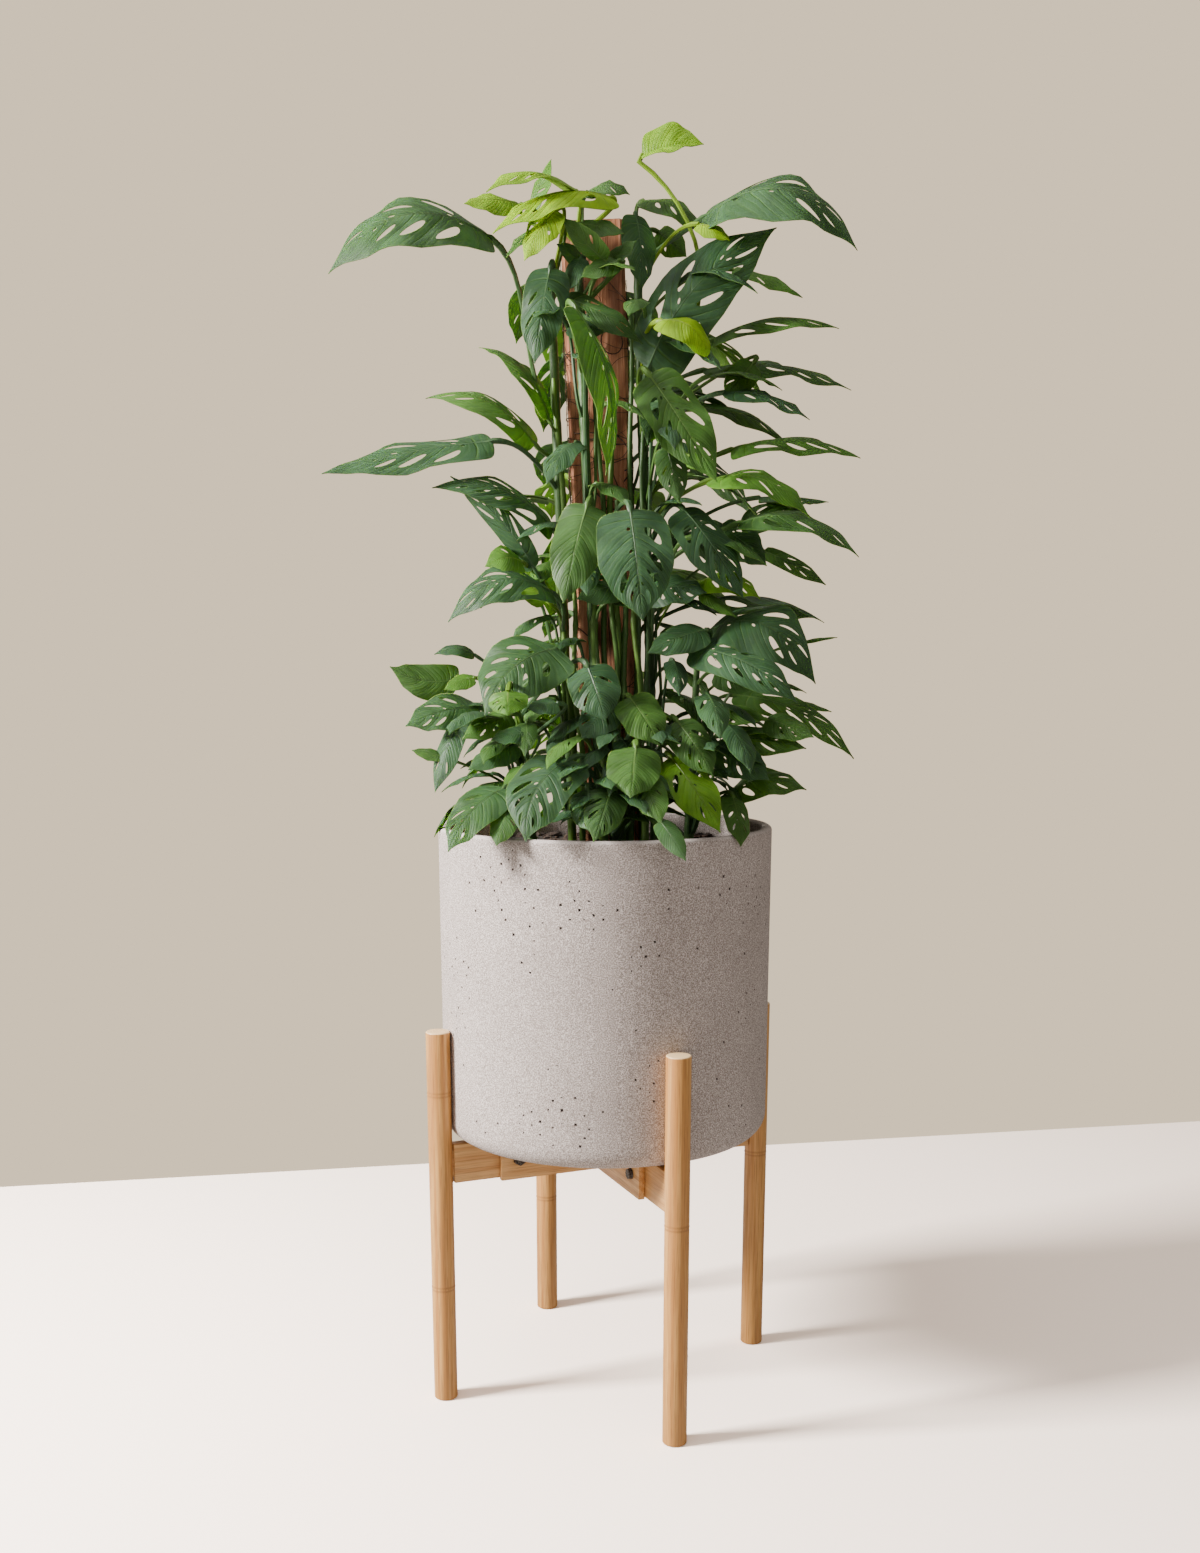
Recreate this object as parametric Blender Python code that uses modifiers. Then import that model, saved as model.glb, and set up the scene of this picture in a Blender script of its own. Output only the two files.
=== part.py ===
"""Monstera adansonii on a wooden plank, in a stone-grey pot that stands in a bamboo plant stand.

Metres, +Z up. The floor is z = 0, the pot's axis is x = y = 0 and the front faces -Y.
Leaves are placed in centimetres in the table LEAVES and, behind the plank, by a seeded rule.
"""
import math
import random
from dataclasses import dataclass

import bmesh
import bpy
from mathutils import Matrix, Vector

# Driving sizes of the pot
POT_RADIUS = 0.1525
POT_WALL = 0.0085
POT_FLOOR = 0.012
POT_BOTTOM_Z = 0.2525
POT_RIM_Z = 0.539
POT_HEEL = 0.010
POT_FOOT_ROUND = 0.018
POT_RIM_ROUND = 0.0038
POT_SEGMENTS = 48
DRAIN_RADIUS = 0.012
SOIL_Z = 0.517
SOIL_RELIEF = 0.0035

# Driving sizes of the stand
LEG_RADIUS = 0.011
LEG_LENGTH = 0.358
LEG_SIDES = 16
LEG_EDGE = 0.0015
STAND_TURN = math.radians(22.3)
GAP = 0.0003
LEG_CIRCLE = POT_RADIUS + GAP + LEG_RADIUS
SLAT_TOP = POT_BOTTOM_Z - GAP
SLAT_HEIGHT = 0.040
SLAT_THICK = 0.006
SLAT_REACH = 0.109
ARM_THICK = 0.012
ARM_HEIGHT = 0.037
ARM_INNER = 0.034
ARM_EDGE = 0.0008
TENON = (0.008, 0.008, 0.025)
BOLT_RADIUS = 0.003
BOLT_PLACE = 0.092
BOLT_HEAD = (0.0055, 0.0035)
BOLT_PAST_NUT = 0.001
NUT = (0.0058, 0.005)
SLOT_LENGTH = 0.050

# Driving sizes of the plank and the stems
PLANK_WIDTH = 0.054
PLANK_DEPTH = 0.040
PLANK_BURIED = 0.16
PLANK_EDGE = 0.004
PLANK_TOP = 1.046
PLANK_LEAN = math.radians(2.25)
PLANK_X_AT_SOIL = 0.009
PLANK_Y = 0.005
STEM_RADIUS = 0.004
STEM_BURIED = 0.035
STEM_HOLE_GAP = 0.0008
STEM_STEP = 0.08
STEM_UPRIGHT = 0.012
PETIOLE_RADIUS = 0.0016
STALK_STEPS = (0.0, 0.22, 0.6, 1.0)
SHORT_STALK = 0.050
SHORT_STALK_STEPS = (0.0, 0.35, 1.0)
BOWED_STALK_STEPS = (0.0, 0.15, 0.35, 0.6, 1.0)
BOWED_KNEE = (-0.0025, 0.0, -0.0050)
BOWED_START = (0.55, 0.0, -0.35)
STALK_DROP = 0.55
STALK_START = 0.34
STALK_END = 0.35
BLADE_THICK = 0.0009

# Shape of a blade, as shares of its length or of its half width
SLANT = 0.10
LOBE = 0.10
WIDEST = 0.3125
FOLD = 0.22
LARGE = "large"
MEDIUM = "medium"
SMALL = "small"
TINY = "tiny"
SOLID = "solid"
NECK_WIDTH = 0.0012
ROWS = {
    LARGE: (0.0, 0.11, 0.32, 0.54, 0.76, 1.0),
    MEDIUM: (0.0, 0.13, 0.42, 0.72, 1.0),
    SMALL: (0.0, 0.18, 0.62, 1.0),
    SOLID: (0.0, 0.14, 0.50, 1.0),
    TINY: (0.0, 0.30, 1.0),
}
HOLED = (LARGE, MEDIUM)
HOLE = ((0.5, 0.17), (0.78, 0.56), (0.52, 0.84), (0.23, 0.5))

COLLECTION = "monstera_adansonii"
CUTTERS = "cutters"


@dataclass(frozen=True)
class Leaf:
    """One leaf, with places and sizes in centimetres and angles in degrees.

    base and tip are the ends of its blade, and width is its breadth. face is the azimuth and
    elevation that its upper side looks to. arch and bend are its bow upwards and sideways, as
    shares of its length. joint is the height where its stalk leaves the stem, or 0 for the rule.
    bow, if any, turns the stalk back under the blade and pulls it that far to the right. fold is
    how steeply the blade's halves droop from the midrib, or rise where it is negative.
    """

    base: tuple
    tip: tuple
    width: float
    face: tuple
    arch: float
    kind: str
    bend: float = 0.0
    joint: float = 0.0
    bow: float = 0.0
    fold: float = FOLD


LEAVES = {
    "vine_left": (
        Leaf((-9.5, -4, 102.5), (-22.5, -7, 99), 6.8, (265, 44), 0.25, LARGE, joint=88),
        Leaf((-4, -5, 103.5), (-8, -8, 100), 3, (230, 70), 0.1, MEDIUM),
        Leaf((-4, -8, 103.5), (-6.5, -9, 99.5), 2.8, (250, 20), 0.1, SMALL),
        Leaf((-4.5, -7, 99.5), (-5.8, -8, 92), 3.8, (262, 15), 0.06, MEDIUM),
        Leaf((-9.5, -5, 86.5), (-23.5, -8, 83.5), 4.8, (265, 52), 0.03, LARGE),
        Leaf((-6, -3, 86.5), (-15.5, -1, 90.5), 3.4, (275, 55), 0.2, LARGE),
        Leaf((-4.8, -3, 88.5), (-11, 1, 95), 2.6, (310, 50), 0.16, MEDIUM),
        Leaf((-4.5, -4, 79.5), (-14.5, -7, 82.5), 4.4, (270, 52), 0.18, LARGE),
        Leaf((-6, -7.5, 76), (-13, -6.5, 83.5), 2.2, (250, 25), 0.05, MEDIUM, bend=0.06),
        Leaf((-7, -8, 76.5), (-10, -9.5, 76), 3.2, (265, 35), 0.22, SMALL),
        Leaf((-4.5, -8, 74), (-13, -11, 71.5), 4.4, (265, 45), 0.3, LARGE),
        Leaf((-5, -5, 73.5), (-8, -5, 76), 2.4, (250, 20), 0.06, TINY),
    ),
    "vine_front": (
        Leaf((-2.5, -4, 106), (-9.5, -9, 104.5), 4.2, (265, 65), 0.16, MEDIUM),
        Leaf((0.5, -4, 105.5), (-9, -9, 101.5), 4.6, (265, 60), 0.14, LARGE),
        Leaf((-6.5, -2, 105), (-4.5, -2, 109), 2.8, (215, 15), 0.05, SMALL),
        Leaf((-7, -4, 105), (-11.5, -6, 104.5), 3.4, (265, 45), 0.08, SMALL),
        Leaf((-1.5, -2, 106.5), (2, -3, 106), 2.8, (275, 50), 0.2, SMALL),
        Leaf((-2, -5, 100.5), (-4, -6, 101.5), 1.8, (265, 30), 0.05, TINY),
        Leaf((-2, -6, 100.5), (-3.5, -7, 97.5), 2, (240, 10), 0.05, TINY),
        Leaf((0, -7, 100), (-3.5, -8, 103), 2.2, (210, 20), 0.05, SMALL),
        Leaf((-2, -6, 103), (1.5, -7, 102), 2.2, (275, 40), 0.05, TINY),
        Leaf((0, -6, 100), (2.5, -7, 101.5), 2, (275, 40), 0.05, TINY),
        Leaf((1, -7, 100), (-2, -8, 98.5), 2.4, (265, 40), 0.05, TINY),
        Leaf((-3.5, -6, 97.5), (3, -8, 93.5), 2.6, (275, 35), 0.08, MEDIUM),
        Leaf((-3, -4, 96), (0, -5, 95), 3, (270, 30), 0.08, SMALL),
        Leaf((-2.5, -9.5, 96), (0, -11, 83), 4.2, (325, 8), 0.14, LARGE),
        Leaf((-1.5, -9, 81), (-3.5, -11, 73), 4.4, (265, 15), 0.08, SOLID),
        Leaf((2, -10, 80.5), (3, -13, 71.5), 6.4, (272, 20), 0.08, LARGE),
        Leaf((2, -6, 75), (-2.5, -7, 73.5), 3, (270, 30), 0.08, SMALL),
    ),
    "vine_right": (
        Leaf((3, -3, 109), (8, -4, 109.5), 3.4, (272, 35), 0.08, SOLID, 0, 92, 8.5, -0.4),
        Leaf((8, -4, 104), (20.5, -6, 101), 6.8, (272, 48), 0.28, LARGE),
        Leaf((3.5, -6, 92), (14, -5, 103), 6.2, (275, 28), 0.06, LARGE, bend=-0.09),
        Leaf((11, 2, 101.5), (17, 1, 99), 2.4, (275, 55), 0.06, SMALL),
        Leaf((3.2, 0.5, 106.5), (8, -1, 103.5), 4, (275, 60), 0.18, MEDIUM),
        Leaf((7.5, -6, 103), (10, -7, 101.5), 2.2, (275, 50), 0.1, TINY),
        Leaf((2.5, -3, 104.5), (3, -4, 98.5), 3.2, (300, 10), 0.06, MEDIUM),
        Leaf((4.5, 2, 104.5), (7, 2, 102.5), 3, (275, 30), 0.06, SMALL),
        Leaf((4.5, -7, 95.5), (8.5, -8, 92), 3.6, (290, 45), 0.26, SOLID),
        Leaf((3.5, -9, 91), (9, -11, 82.5), 4.8, (272, 15), 0.06, LARGE),
        Leaf((4.5, -4, 90.5), (3.5, -6, 86), 2.6, (290, 10), 0.05, SMALL),
        Leaf((5, -5.5, 88.5), (5.5, -6.5, 85), 2.4, (285, 10), 0.05, TINY),
        Leaf((5, -9, 85.5), (6, -10, 81), 2.6, (275, 15), 0.06, SMALL),
        Leaf((7, -7, 85), (8.5, -8, 84), 1.8, (275, 20), 0.06, TINY),
        Leaf((9, -2, 95), (19.5, -4, 95.5), 3.4, (275, 62), 0.12, LARGE),
        Leaf((8.5, 0, 93), (21, -2, 91), 5, (275, 68), 0.09, LARGE),
        Leaf((12.5, -3, 93), (10, -4, 90), 2.6, (275, 15), 0.05, SMALL),
        Leaf((10, -4, 90.5), (17, -6, 88), 3.4, (275, 68), 0.1, MEDIUM),
        Leaf((11, 0, 86.5), (22, -2, 85.5), 4.6, (275, 66), 0.11, LARGE),
        Leaf((9, -4, 83.5), (17, -8, 80), 4, (275, 60), 0.18, MEDIUM),
        Leaf((13.5, 0, 82.5), (19.5, -1, 82), 3.6, (275, 80), 0.04, MEDIUM),
        Leaf((12, 1, 80.5), (18, 0, 81), 3.6, (275, 45), 0.12, MEDIUM),
        Leaf((11.5, -4, 80), (21.5, -6, 77), 4.4, (275, 65), 0.18, LARGE),
        Leaf((6.5, -6, 81), (11.5, -9, 73.5), 4.6, (290, 25), 0.06, LARGE),
        Leaf((10, -2, 80), (14, -3, 76.5), 4, (280, 35), 0.06, MEDIUM),
        Leaf((14, 0, 78), (19.5, -1, 75), 1.8, (275, 30), 0.06, SMALL),
        Leaf((8, -6, 75), (13, -8, 73.5), 3.2, (275, 50), 0.22, MEDIUM),
        Leaf((3.5, -6, 74.5), (8.5, -8, 74), 4, (275, 45), 0.08, MEDIUM),
        Leaf((8, -7, 74), (11, -8, 72), 1.3, (275, 40), 0.05, TINY),
    ),
    "vine_low_left": (
        Leaf((-4, -9, 69.5), (-10, -12, 64), 6.6, (262, 32), 0.08, LARGE, bend=0.13),
        Leaf((-1.5, -10, 68), (0, -12, 63.5), 4.4, (270, 25), 0.1, MEDIUM),
        Leaf((-4, -6, 69.5), (-6, -7, 67), 2.6, (260, 30), 0.08, SMALL),
        Leaf((-13, -2, 67), (-19, -3, 68), 3.4, (262, 22), 0.04, SOLID, bend=-0.14),
        Leaf((-11, -6, 64.5), (-17, -9, 63), 4.4, (262, 40), 0.1, MEDIUM),
        Leaf((-11.5, -4, 67), (-14, -5, 66), 1.8, (262, 40), 0.08, TINY),
        Leaf((-11.5, -3, 69), (-15, -3.5, 69), 1.6, (262, 50), 0.2, TINY),
        Leaf((-8, -13, 66), (-8, -14, 64), 3.4, (262, 30), 0.08, SMALL),
        Leaf((-4, -12, 65), (-6.5, -13, 64.5), 2.2, (262, 50), 0.08, TINY),
        Leaf((-8, -9, 64), (-12, -11, 62), 2.8, (262, 40), 0.08, SMALL),
        Leaf((-12.5, -8, 63.5), (-14.5, -10, 57.5), 2.6, (240, 15), 0.06, SMALL),
        Leaf((-14, -9, 60.5), (-16.5, -9, 61), 1.4, (262, 50), 0.05, TINY),
        Leaf((-7.5, -10, 61.5), (-11.5, -12, 59.5), 2.8, (262, 45), 0.08, SMALL),
        Leaf((-6.5, -12, 62.5), (-9.5, -13, 62), 2.2, (262, 50), 0.08, TINY),
        Leaf((-8.5, -11, 58), (-13, -15, 53), 4.2, (250, 35), 0.08, MEDIUM, bend=0.06),
        Leaf((-8, -12, 56.5), (-9, -15, 53.5), 2.6, (255, 25), 0.06, SMALL),
    ),
    "vine_low_front": (
        Leaf((-3, -13, 60.5), (-6.5, -16.5, 54), 5.6, (258, 28), 0.08, LARGE, bend=0.13),
        Leaf((-1.5, -13, 58), (-1, -16, 54.5), 3.4, (270, 25), 0.08, MEDIUM),
        Leaf((0.5, -13, 58), (-1, -16.5, 54), 3.4, (275, 25), 0.08, MEDIUM),
        Leaf((2.5, -13, 61.5), (2, -16, 57.5), 4.6, (270, 25), 0.06, SOLID),
        Leaf((3, -13, 59), (4.5, -16.5, 55.5), 3, (275, 25), 0.06, SMALL),
        Leaf((4.5, -14.5, 55.5), (6.5, -17, 52.5), 2, (280, 25), 0.06, TINY),
        Leaf((2, -10, 65.5), (4.5, -12, 61.5), 4, (275, 35), 0.08, MEDIUM),
        Leaf((0.5, -10, 65), (-2, -12, 62), 3.4, (268, 35), 0.08, SMALL),
        Leaf((2.5, -9, 61), (4.5, -10, 60), 2.4, (275, 40), 0.08, TINY),
    ),
    "vine_low_right": (
        Leaf((9, -3, 71), (18, -7, 66.5), 7, (278, 42), 0.34, LARGE),
        Leaf((17, -1, 70), (20.5, -2, 70.5), 1, (270, 70), 0.03, TINY),
        Leaf((7.5, -7, 69.5), (16, -11, 65), 4.6, (278, 40), 0.14, LARGE),
        Leaf((8.5, -7, 71), (3.5, -9, 69), 3.4, (270, 45), 0.08, MEDIUM),
        Leaf((9.5, -5.5, 67.5), (13, -6.5, 66), 2.8, (280, 35), 0.06, SMALL),
        Leaf((11.5, -1, 65.5), (22, -4, 60), 2.8, (285, 25), 0.06, LARGE, bend=-0.1),
        Leaf((16.5, 0, 65), (20.5, 0, 64), 1.2, (270, 60), 0.03, TINY),
        Leaf((9, -5, 64), (14, -7, 63.5), 2.6, (278, 45), 0.06, SMALL),
        Leaf((14, -5, 63.5), (18, -7, 62), 2.8, (278, 35), 0.06, SMALL),
        Leaf((10.5, -3, 62), (17.5, -6, 61), 3.2, (278, 35), 0.06, MEDIUM),
        Leaf((9.5, -6, 61.5), (14, -9, 58.5), 4, (278, 35), 0.06, MEDIUM),
        Leaf((11, -4, 57), (17.5, -7, 57.5), 3.8, (278, 45), 0.22, MEDIUM),
        Leaf((6, -10, 63.5), (9, -12, 59), 3.6, (278, 28), 0.08, MEDIUM),
        Leaf((5.5, -10, 60.5), (9.5, -14, 54.5), 4, (278, 25), 0.08, MEDIUM),
        Leaf((11, -8, 57), (11.5, -11, 53), 2.8, (300, 18), 0.06, SMALL),
        Leaf((6.5, -9, 58.5), (9.5, -11, 55), 3.6, (278, 30), 0.06, MEDIUM),
    ),
}


@dataclass(frozen=True)
class Stem:
    """A leafy stem in centimetres: its foot (x, y) at the soil and its top (x, y, z)."""

    foot: tuple
    top: tuple


STEMS = {
    "vine_left": Stem((-3.0, -1.2), (-4.6, -1.0, 99)),
    "vine_front": Stem((-0.4, -2.4), (-2.4, -2.4, 103)),
    "vine_right": Stem((4.6, -1.0), (2.6, -1.2, 103)),
    "vine_back_left": Stem((-0.6, 3.4), (-2.8, 3.4, 103)),
    "vine_back_right": Stem((2.6, 3.4), (0.4, 3.4, 104)),
    "vine_low_left": Stem((-6.5, -5.0), (-7.5, -5.5, 66)),
    "vine_low_front": Stem((1.0, -7.5), (1.0, -8.0, 63)),
    "vine_low_right": Stem((7.5, -3.5), (8.0, -4.0, 68)),
    "vine_low_back": Stem((0.5, 6.0), (0.5, 7.0, 66)),
}


@dataclass(frozen=True)
class BackRule:
    """Leaves set by rule behind the plank, with the span of directions and heights they fill."""

    count: int
    directions: tuple
    heights: tuple
    reach: tuple
    lengths: tuple
    seed: int


BACK_SPREAD = 0.618
BACK_FACE = 60
BACK_ARCH = 0.12
BACK_WIDTH = 0.46
BACK_LARGE = 10.5
BACK_DROOP = (-45.0, -5.0)
BACK_TWIST = 20.0
BACK_RULES = {
    "vine_back_left": BackRule(9, (80, 125), (73, 104), (3.0, 5.5), (7.5, 10.5), 11),
    "vine_back_right": BackRule(9, (0, 84), (72, 103), (3.5, 7.0), (8.0, 12.0), 23),
    "vine_low_back": BackRule(8, (10, 170), (58, 68), (2.5, 5.0), (7.0, 10.0), 5),
}


def clear_scene():
    """Remove every object that the file opens with."""
    for thing in list(bpy.data.objects):
        bpy.data.objects.remove(thing, do_unlink=True)


def new_collection(name):
    """Return a collection of this name, linked to the scene."""
    group = bpy.data.collections.new(name)
    bpy.context.scene.collection.children.link(group)
    return group


def make_material(name, colour, roughness, metallic=0.0):
    """Return a Principled material with the given colour and finish."""
    material = bpy.data.materials.new(name)
    material.use_nodes = True
    shader = material.node_tree.nodes["Principled BSDF"]
    shader.inputs["Base Color"].default_value = (*colour, 1.0)
    shader.inputs["Roughness"].default_value = roughness
    shader.inputs["Metallic"].default_value = metallic
    return material


def move_to(thing, group):
    """Put an object in one collection only."""
    for holder in list(thing.users_collection):
        holder.objects.unlink(thing)
    group.objects.link(thing)


def finish(thing, name, group, material):
    """Name an object, put it in the part's collection and give it its material."""
    thing.name = name
    thing.data.name = name
    move_to(thing, group)
    thing.data.materials.clear()
    thing.data.materials.append(material)
    return thing


def bake(thing):
    """Replace an object's mesh by what its modifiers make of it."""
    depsgraph = bpy.context.evaluated_depsgraph_get()
    mesh = bpy.data.meshes.new_from_object(thing.evaluated_get(depsgraph))
    thing.modifiers.clear()
    thing.data = mesh
    return thing


def box(size, centre, turn=0.0):
    """Add a box of the given size with its centre at a point, turned about Z."""
    bpy.ops.mesh.primitive_cube_add(size=1.0)
    thing = bpy.context.object
    thing.data.transform(Matrix.Diagonal((*size, 1.0)))
    thing.data.transform(Matrix.Rotation(turn, 4, "Z") @ Matrix.Translation(centre))
    return thing


def rod(radius, length, centre, turn=0.0, sides=16, across=False):
    """Add an upright cylinder, or one that lies across the turned X axis."""
    bpy.ops.mesh.primitive_cylinder_add(vertices=sides, radius=radius, depth=length)
    thing = bpy.context.object
    if across:
        thing.data.transform(Matrix.Rotation(math.radians(90.0), 4, "X"))
    thing.data.transform(Matrix.Rotation(turn, 4, "Z") @ Matrix.Translation(centre))
    return thing


def bevel(thing, width, segments=1):
    """Add a bevel modifier that rounds the sharp edges."""
    modifier = thing.modifiers.new("Edge", "BEVEL")
    modifier.width = width
    modifier.segments = segments
    modifier.limit_method = "ANGLE"
    modifier.angle_limit = math.radians(40.0)


def cut(thing, cutter, cutters):
    """Subtract a cutter, which stays hidden in its own collection."""
    move_to(cutter, cutters)
    cutter.hide_render = True
    cutter.display_type = "WIRE"
    modifier = thing.modifiers.new("Cut", "BOOLEAN")
    modifier.operation = "DIFFERENCE"
    modifier.object = cutter
    modifier.solver = "EXACT"


def turned(profile, steps, name):
    """Turn a closed profile of (radius, height) points about Z with a Screw modifier."""
    mesh = bpy.data.meshes.new(name)
    edges = [(i, (i + 1) % len(profile)) for i in range(len(profile))]
    mesh.from_pydata([(r, 0.0, z) for r, z in profile], edges, [])
    thing = bpy.data.objects.new(name, mesh)
    bpy.context.scene.collection.objects.link(thing)
    screw = thing.modifiers.new("Turn", "SCREW")
    screw.steps = steps
    screw.render_steps = steps
    screw.use_merge_vertices = True
    screw.merge_threshold = 0.00005
    screw.use_normal_calculate = True
    return thing


def arc(centre, radius, start, end, count):
    """Return points on an arc, as (radius, height), with angles in degrees."""
    points = []
    for i in range(count + 1):
        angle = math.radians(start + (end - start) * i / count)
        points.append((centre[0] + radius * math.cos(angle), centre[1] + radius * math.sin(angle)))
    return points


def make_pot(group, material):
    """Make the pot: straight wall, rounded foot and rim, and a drain hole in its floor."""
    inner = POT_RADIUS - POT_WALL
    foot = POT_FOOT_ROUND
    rim = POT_RIM_ROUND
    floor = POT_BOTTOM_Z + POT_FLOOR
    profile = [(DRAIN_RADIUS, POT_BOTTOM_Z)]
    profile += arc((POT_RADIUS - foot, POT_BOTTOM_Z + foot), foot, -90, 0, 3)
    profile += arc((POT_RADIUS - rim, POT_RIM_Z - rim), rim, 0, 90, 2)
    profile += arc((inner + rim, POT_RIM_Z - rim), rim, 90, 180, 2)
    profile += [(inner, floor + POT_HEEL), (inner - POT_HEEL, floor), (DRAIN_RADIUS, floor)]
    return finish(turned(profile, POT_SEGMENTS, "pot"), "pot", group, material)


def soil_height(x, y):
    """Return how far the soil's surface stands above its own level at a point."""
    wave = math.sin(61.0 * x + 1.0) * math.cos(53.0 * y) + 0.6 * math.sin(117.0 * y - 95.0 * x)
    return SOIL_RELIEF * 0.6 * wave


def make_soil(group, cutters, material):
    """Make the soil that fills the pot, with plain holes for the plank and the stems."""
    inner = POT_RADIUS - POT_WALL - GAP
    floor = POT_BOTTOM_Z + POT_FLOOR + GAP
    bpy.ops.mesh.primitive_circle_add(
        vertices=POT_SEGMENTS, radius=inner, fill_type="TRIFAN", location=(0, 0, 0)
    )
    thing = bpy.context.object
    mesh = bmesh.new()
    mesh.from_mesh(thing.data)
    spokes = [e for e in mesh.edges if min(v.co.length for v in e.verts) < 0.001]
    bmesh.ops.subdivide_edges(mesh, edges=spokes, cuts=2)
    rim = [e for e in mesh.edges if e.is_boundary]
    for vert in mesh.verts:
        vert.co.z = SOIL_Z
        if vert.co.to_2d().length < inner - 0.005:
            vert.co.z += soil_height(vert.co.x, vert.co.y)
    walls = bmesh.ops.extrude_edge_only(mesh, edges=rim)["geom"]
    lower = [v for v in walls if isinstance(v, bmesh.types.BMVert)]
    for vert in lower:
        vert.co.z = floor + POT_HEEL
    edges = [e for e in walls if isinstance(e, bmesh.types.BMEdge) and e.is_boundary]
    walls = bmesh.ops.extrude_edge_only(mesh, edges=edges)["geom"]
    lower = [v for v in walls if isinstance(v, bmesh.types.BMVert)]
    for vert in lower:
        flat = vert.co.to_2d() * ((inner - POT_HEEL) / inner)
        vert.co = Vector((flat.x, flat.y, floor))
    edges = [e for e in walls if isinstance(e, bmesh.types.BMEdge) and e.is_boundary]
    bmesh.ops.contextual_create(mesh, geom=edges)
    bmesh.ops.recalc_face_normals(mesh, faces=mesh.faces)
    mesh.to_mesh(thing.data)
    mesh.free()
    cut(thing, plank_block(GAP), cutters)
    for stem in STEMS.values():
        x, y = stem.foot
        centre = (x * 0.01, y * 0.01, SOIL_Z)
        cut(thing, rod(STEM_RADIUS + STEM_HOLE_GAP, 2 * STEM_BURIED + 0.002, centre, sides=8), cutters)
    return finish(thing, "soil", group, material)


def plank_block(clearance=0.0):
    """Add the plank as a leaning block, widened all round by a clearance."""
    foot = SOIL_Z - PLANK_BURIED
    height = PLANK_TOP - foot
    size = (PLANK_WIDTH + 2 * clearance, PLANK_DEPTH + 2 * clearance, height + 2 * clearance)
    thing = box(size, (0.0, 0.0, foot - SOIL_Z + height / 2))
    place = Matrix.Translation((PLANK_X_AT_SOIL, PLANK_Y, SOIL_Z))
    thing.data.transform(place @ Matrix.Rotation(-PLANK_LEAN, 4, "Y"))
    return thing


def make_plank(group, material):
    """Make the rough wooden plank that the stems climb."""
    thing = plank_block()
    bevel(thing, PLANK_EDGE)
    return finish(thing, "climbing_plank", group, material)


def leg_turn(index):
    """Return the direction of one of the four legs, counted from the right one."""
    return STAND_TURN + index * math.radians(90.0)


def make_leg(name, index, group, cutters, material):
    """Make a bamboo leg with the mortise that takes its arm's tenon."""
    turn = leg_turn(index)
    thing = rod(LEG_RADIUS, LEG_LENGTH, (LEG_CIRCLE, 0, LEG_LENGTH / 2), turn, LEG_SIDES)
    bevel(thing, LEG_EDGE)
    length, thick, height = TENON
    size = (2 * length, thick + 2 * GAP, height + 2 * GAP)
    centre = (LEG_CIRCLE - LEG_RADIUS, 0, SLAT_TOP - SLAT_HEIGHT / 2)
    cut(thing, box(size, centre, turn), cutters)
    return finish(thing, name, group, material)


def make_arm(name, index, group, cutters, material):
    """Make a sliding arm of the cross, slotted for its bolt, with a tenon at its end."""
    turn = leg_turn(index)
    middle = SLAT_TOP - SLAT_HEIGHT / 2
    end = LEG_CIRCLE - LEG_RADIUS - GAP
    size = (end - ARM_INNER, ARM_THICK, ARM_HEIGHT)
    thing = box(size, ((end + ARM_INNER) / 2, 0, middle), turn)
    bevel(thing, ARM_EDGE)
    bake(thing)
    length, thick, height = TENON
    tenon = box((length + 0.002, thick, height), (end + length / 2 - 0.0012, 0, middle), turn)
    join = thing.modifiers.new("Tenon", "BOOLEAN")
    join.operation = "UNION"
    join.object = tenon
    join.solver = "EXACT"
    bake(thing)
    bpy.data.objects.remove(tenon, do_unlink=True)
    slot = box((SLOT_LENGTH, 0.03, 2 * BOLT_RADIUS + 2 * GAP), (BOLT_PLACE - 0.012, 0, middle), turn)
    cut(thing, slot, cutters)
    return finish(thing, name, group, material)


def make_slat(name, index, side, group, cutters, material):
    """Make one of a direction's two slats, notched where it crosses the other direction."""
    turn = leg_turn(index)
    middle = SLAT_TOP - SLAT_HEIGHT / 2
    offset = side * (ARM_THICK / 2 + GAP + SLAT_THICK / 2)
    thing = box((2 * SLAT_REACH, SLAT_THICK, SLAT_HEIGHT), (0, offset, middle), turn)
    from_top = index == 0
    for across in (-1, 1):
        place = across * (ARM_THICK / 2 + GAP + SLAT_THICK / 2)
        level = SLAT_HEIGHT / 2 if from_top else -SLAT_HEIGHT / 2
        size = (SLAT_THICK + 2 * GAP, 0.03, SLAT_HEIGHT + 2 * GAP)
        cut(thing, box(size, (place, offset, middle + level), turn), cutters)
    for end in (-1, 1):
        hole = rod(BOLT_RADIUS + GAP, 0.02, (end * BOLT_PLACE, offset, middle), turn, 8, True)
        cut(thing, hole, cutters)
    return finish(thing, name, group, material)


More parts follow.
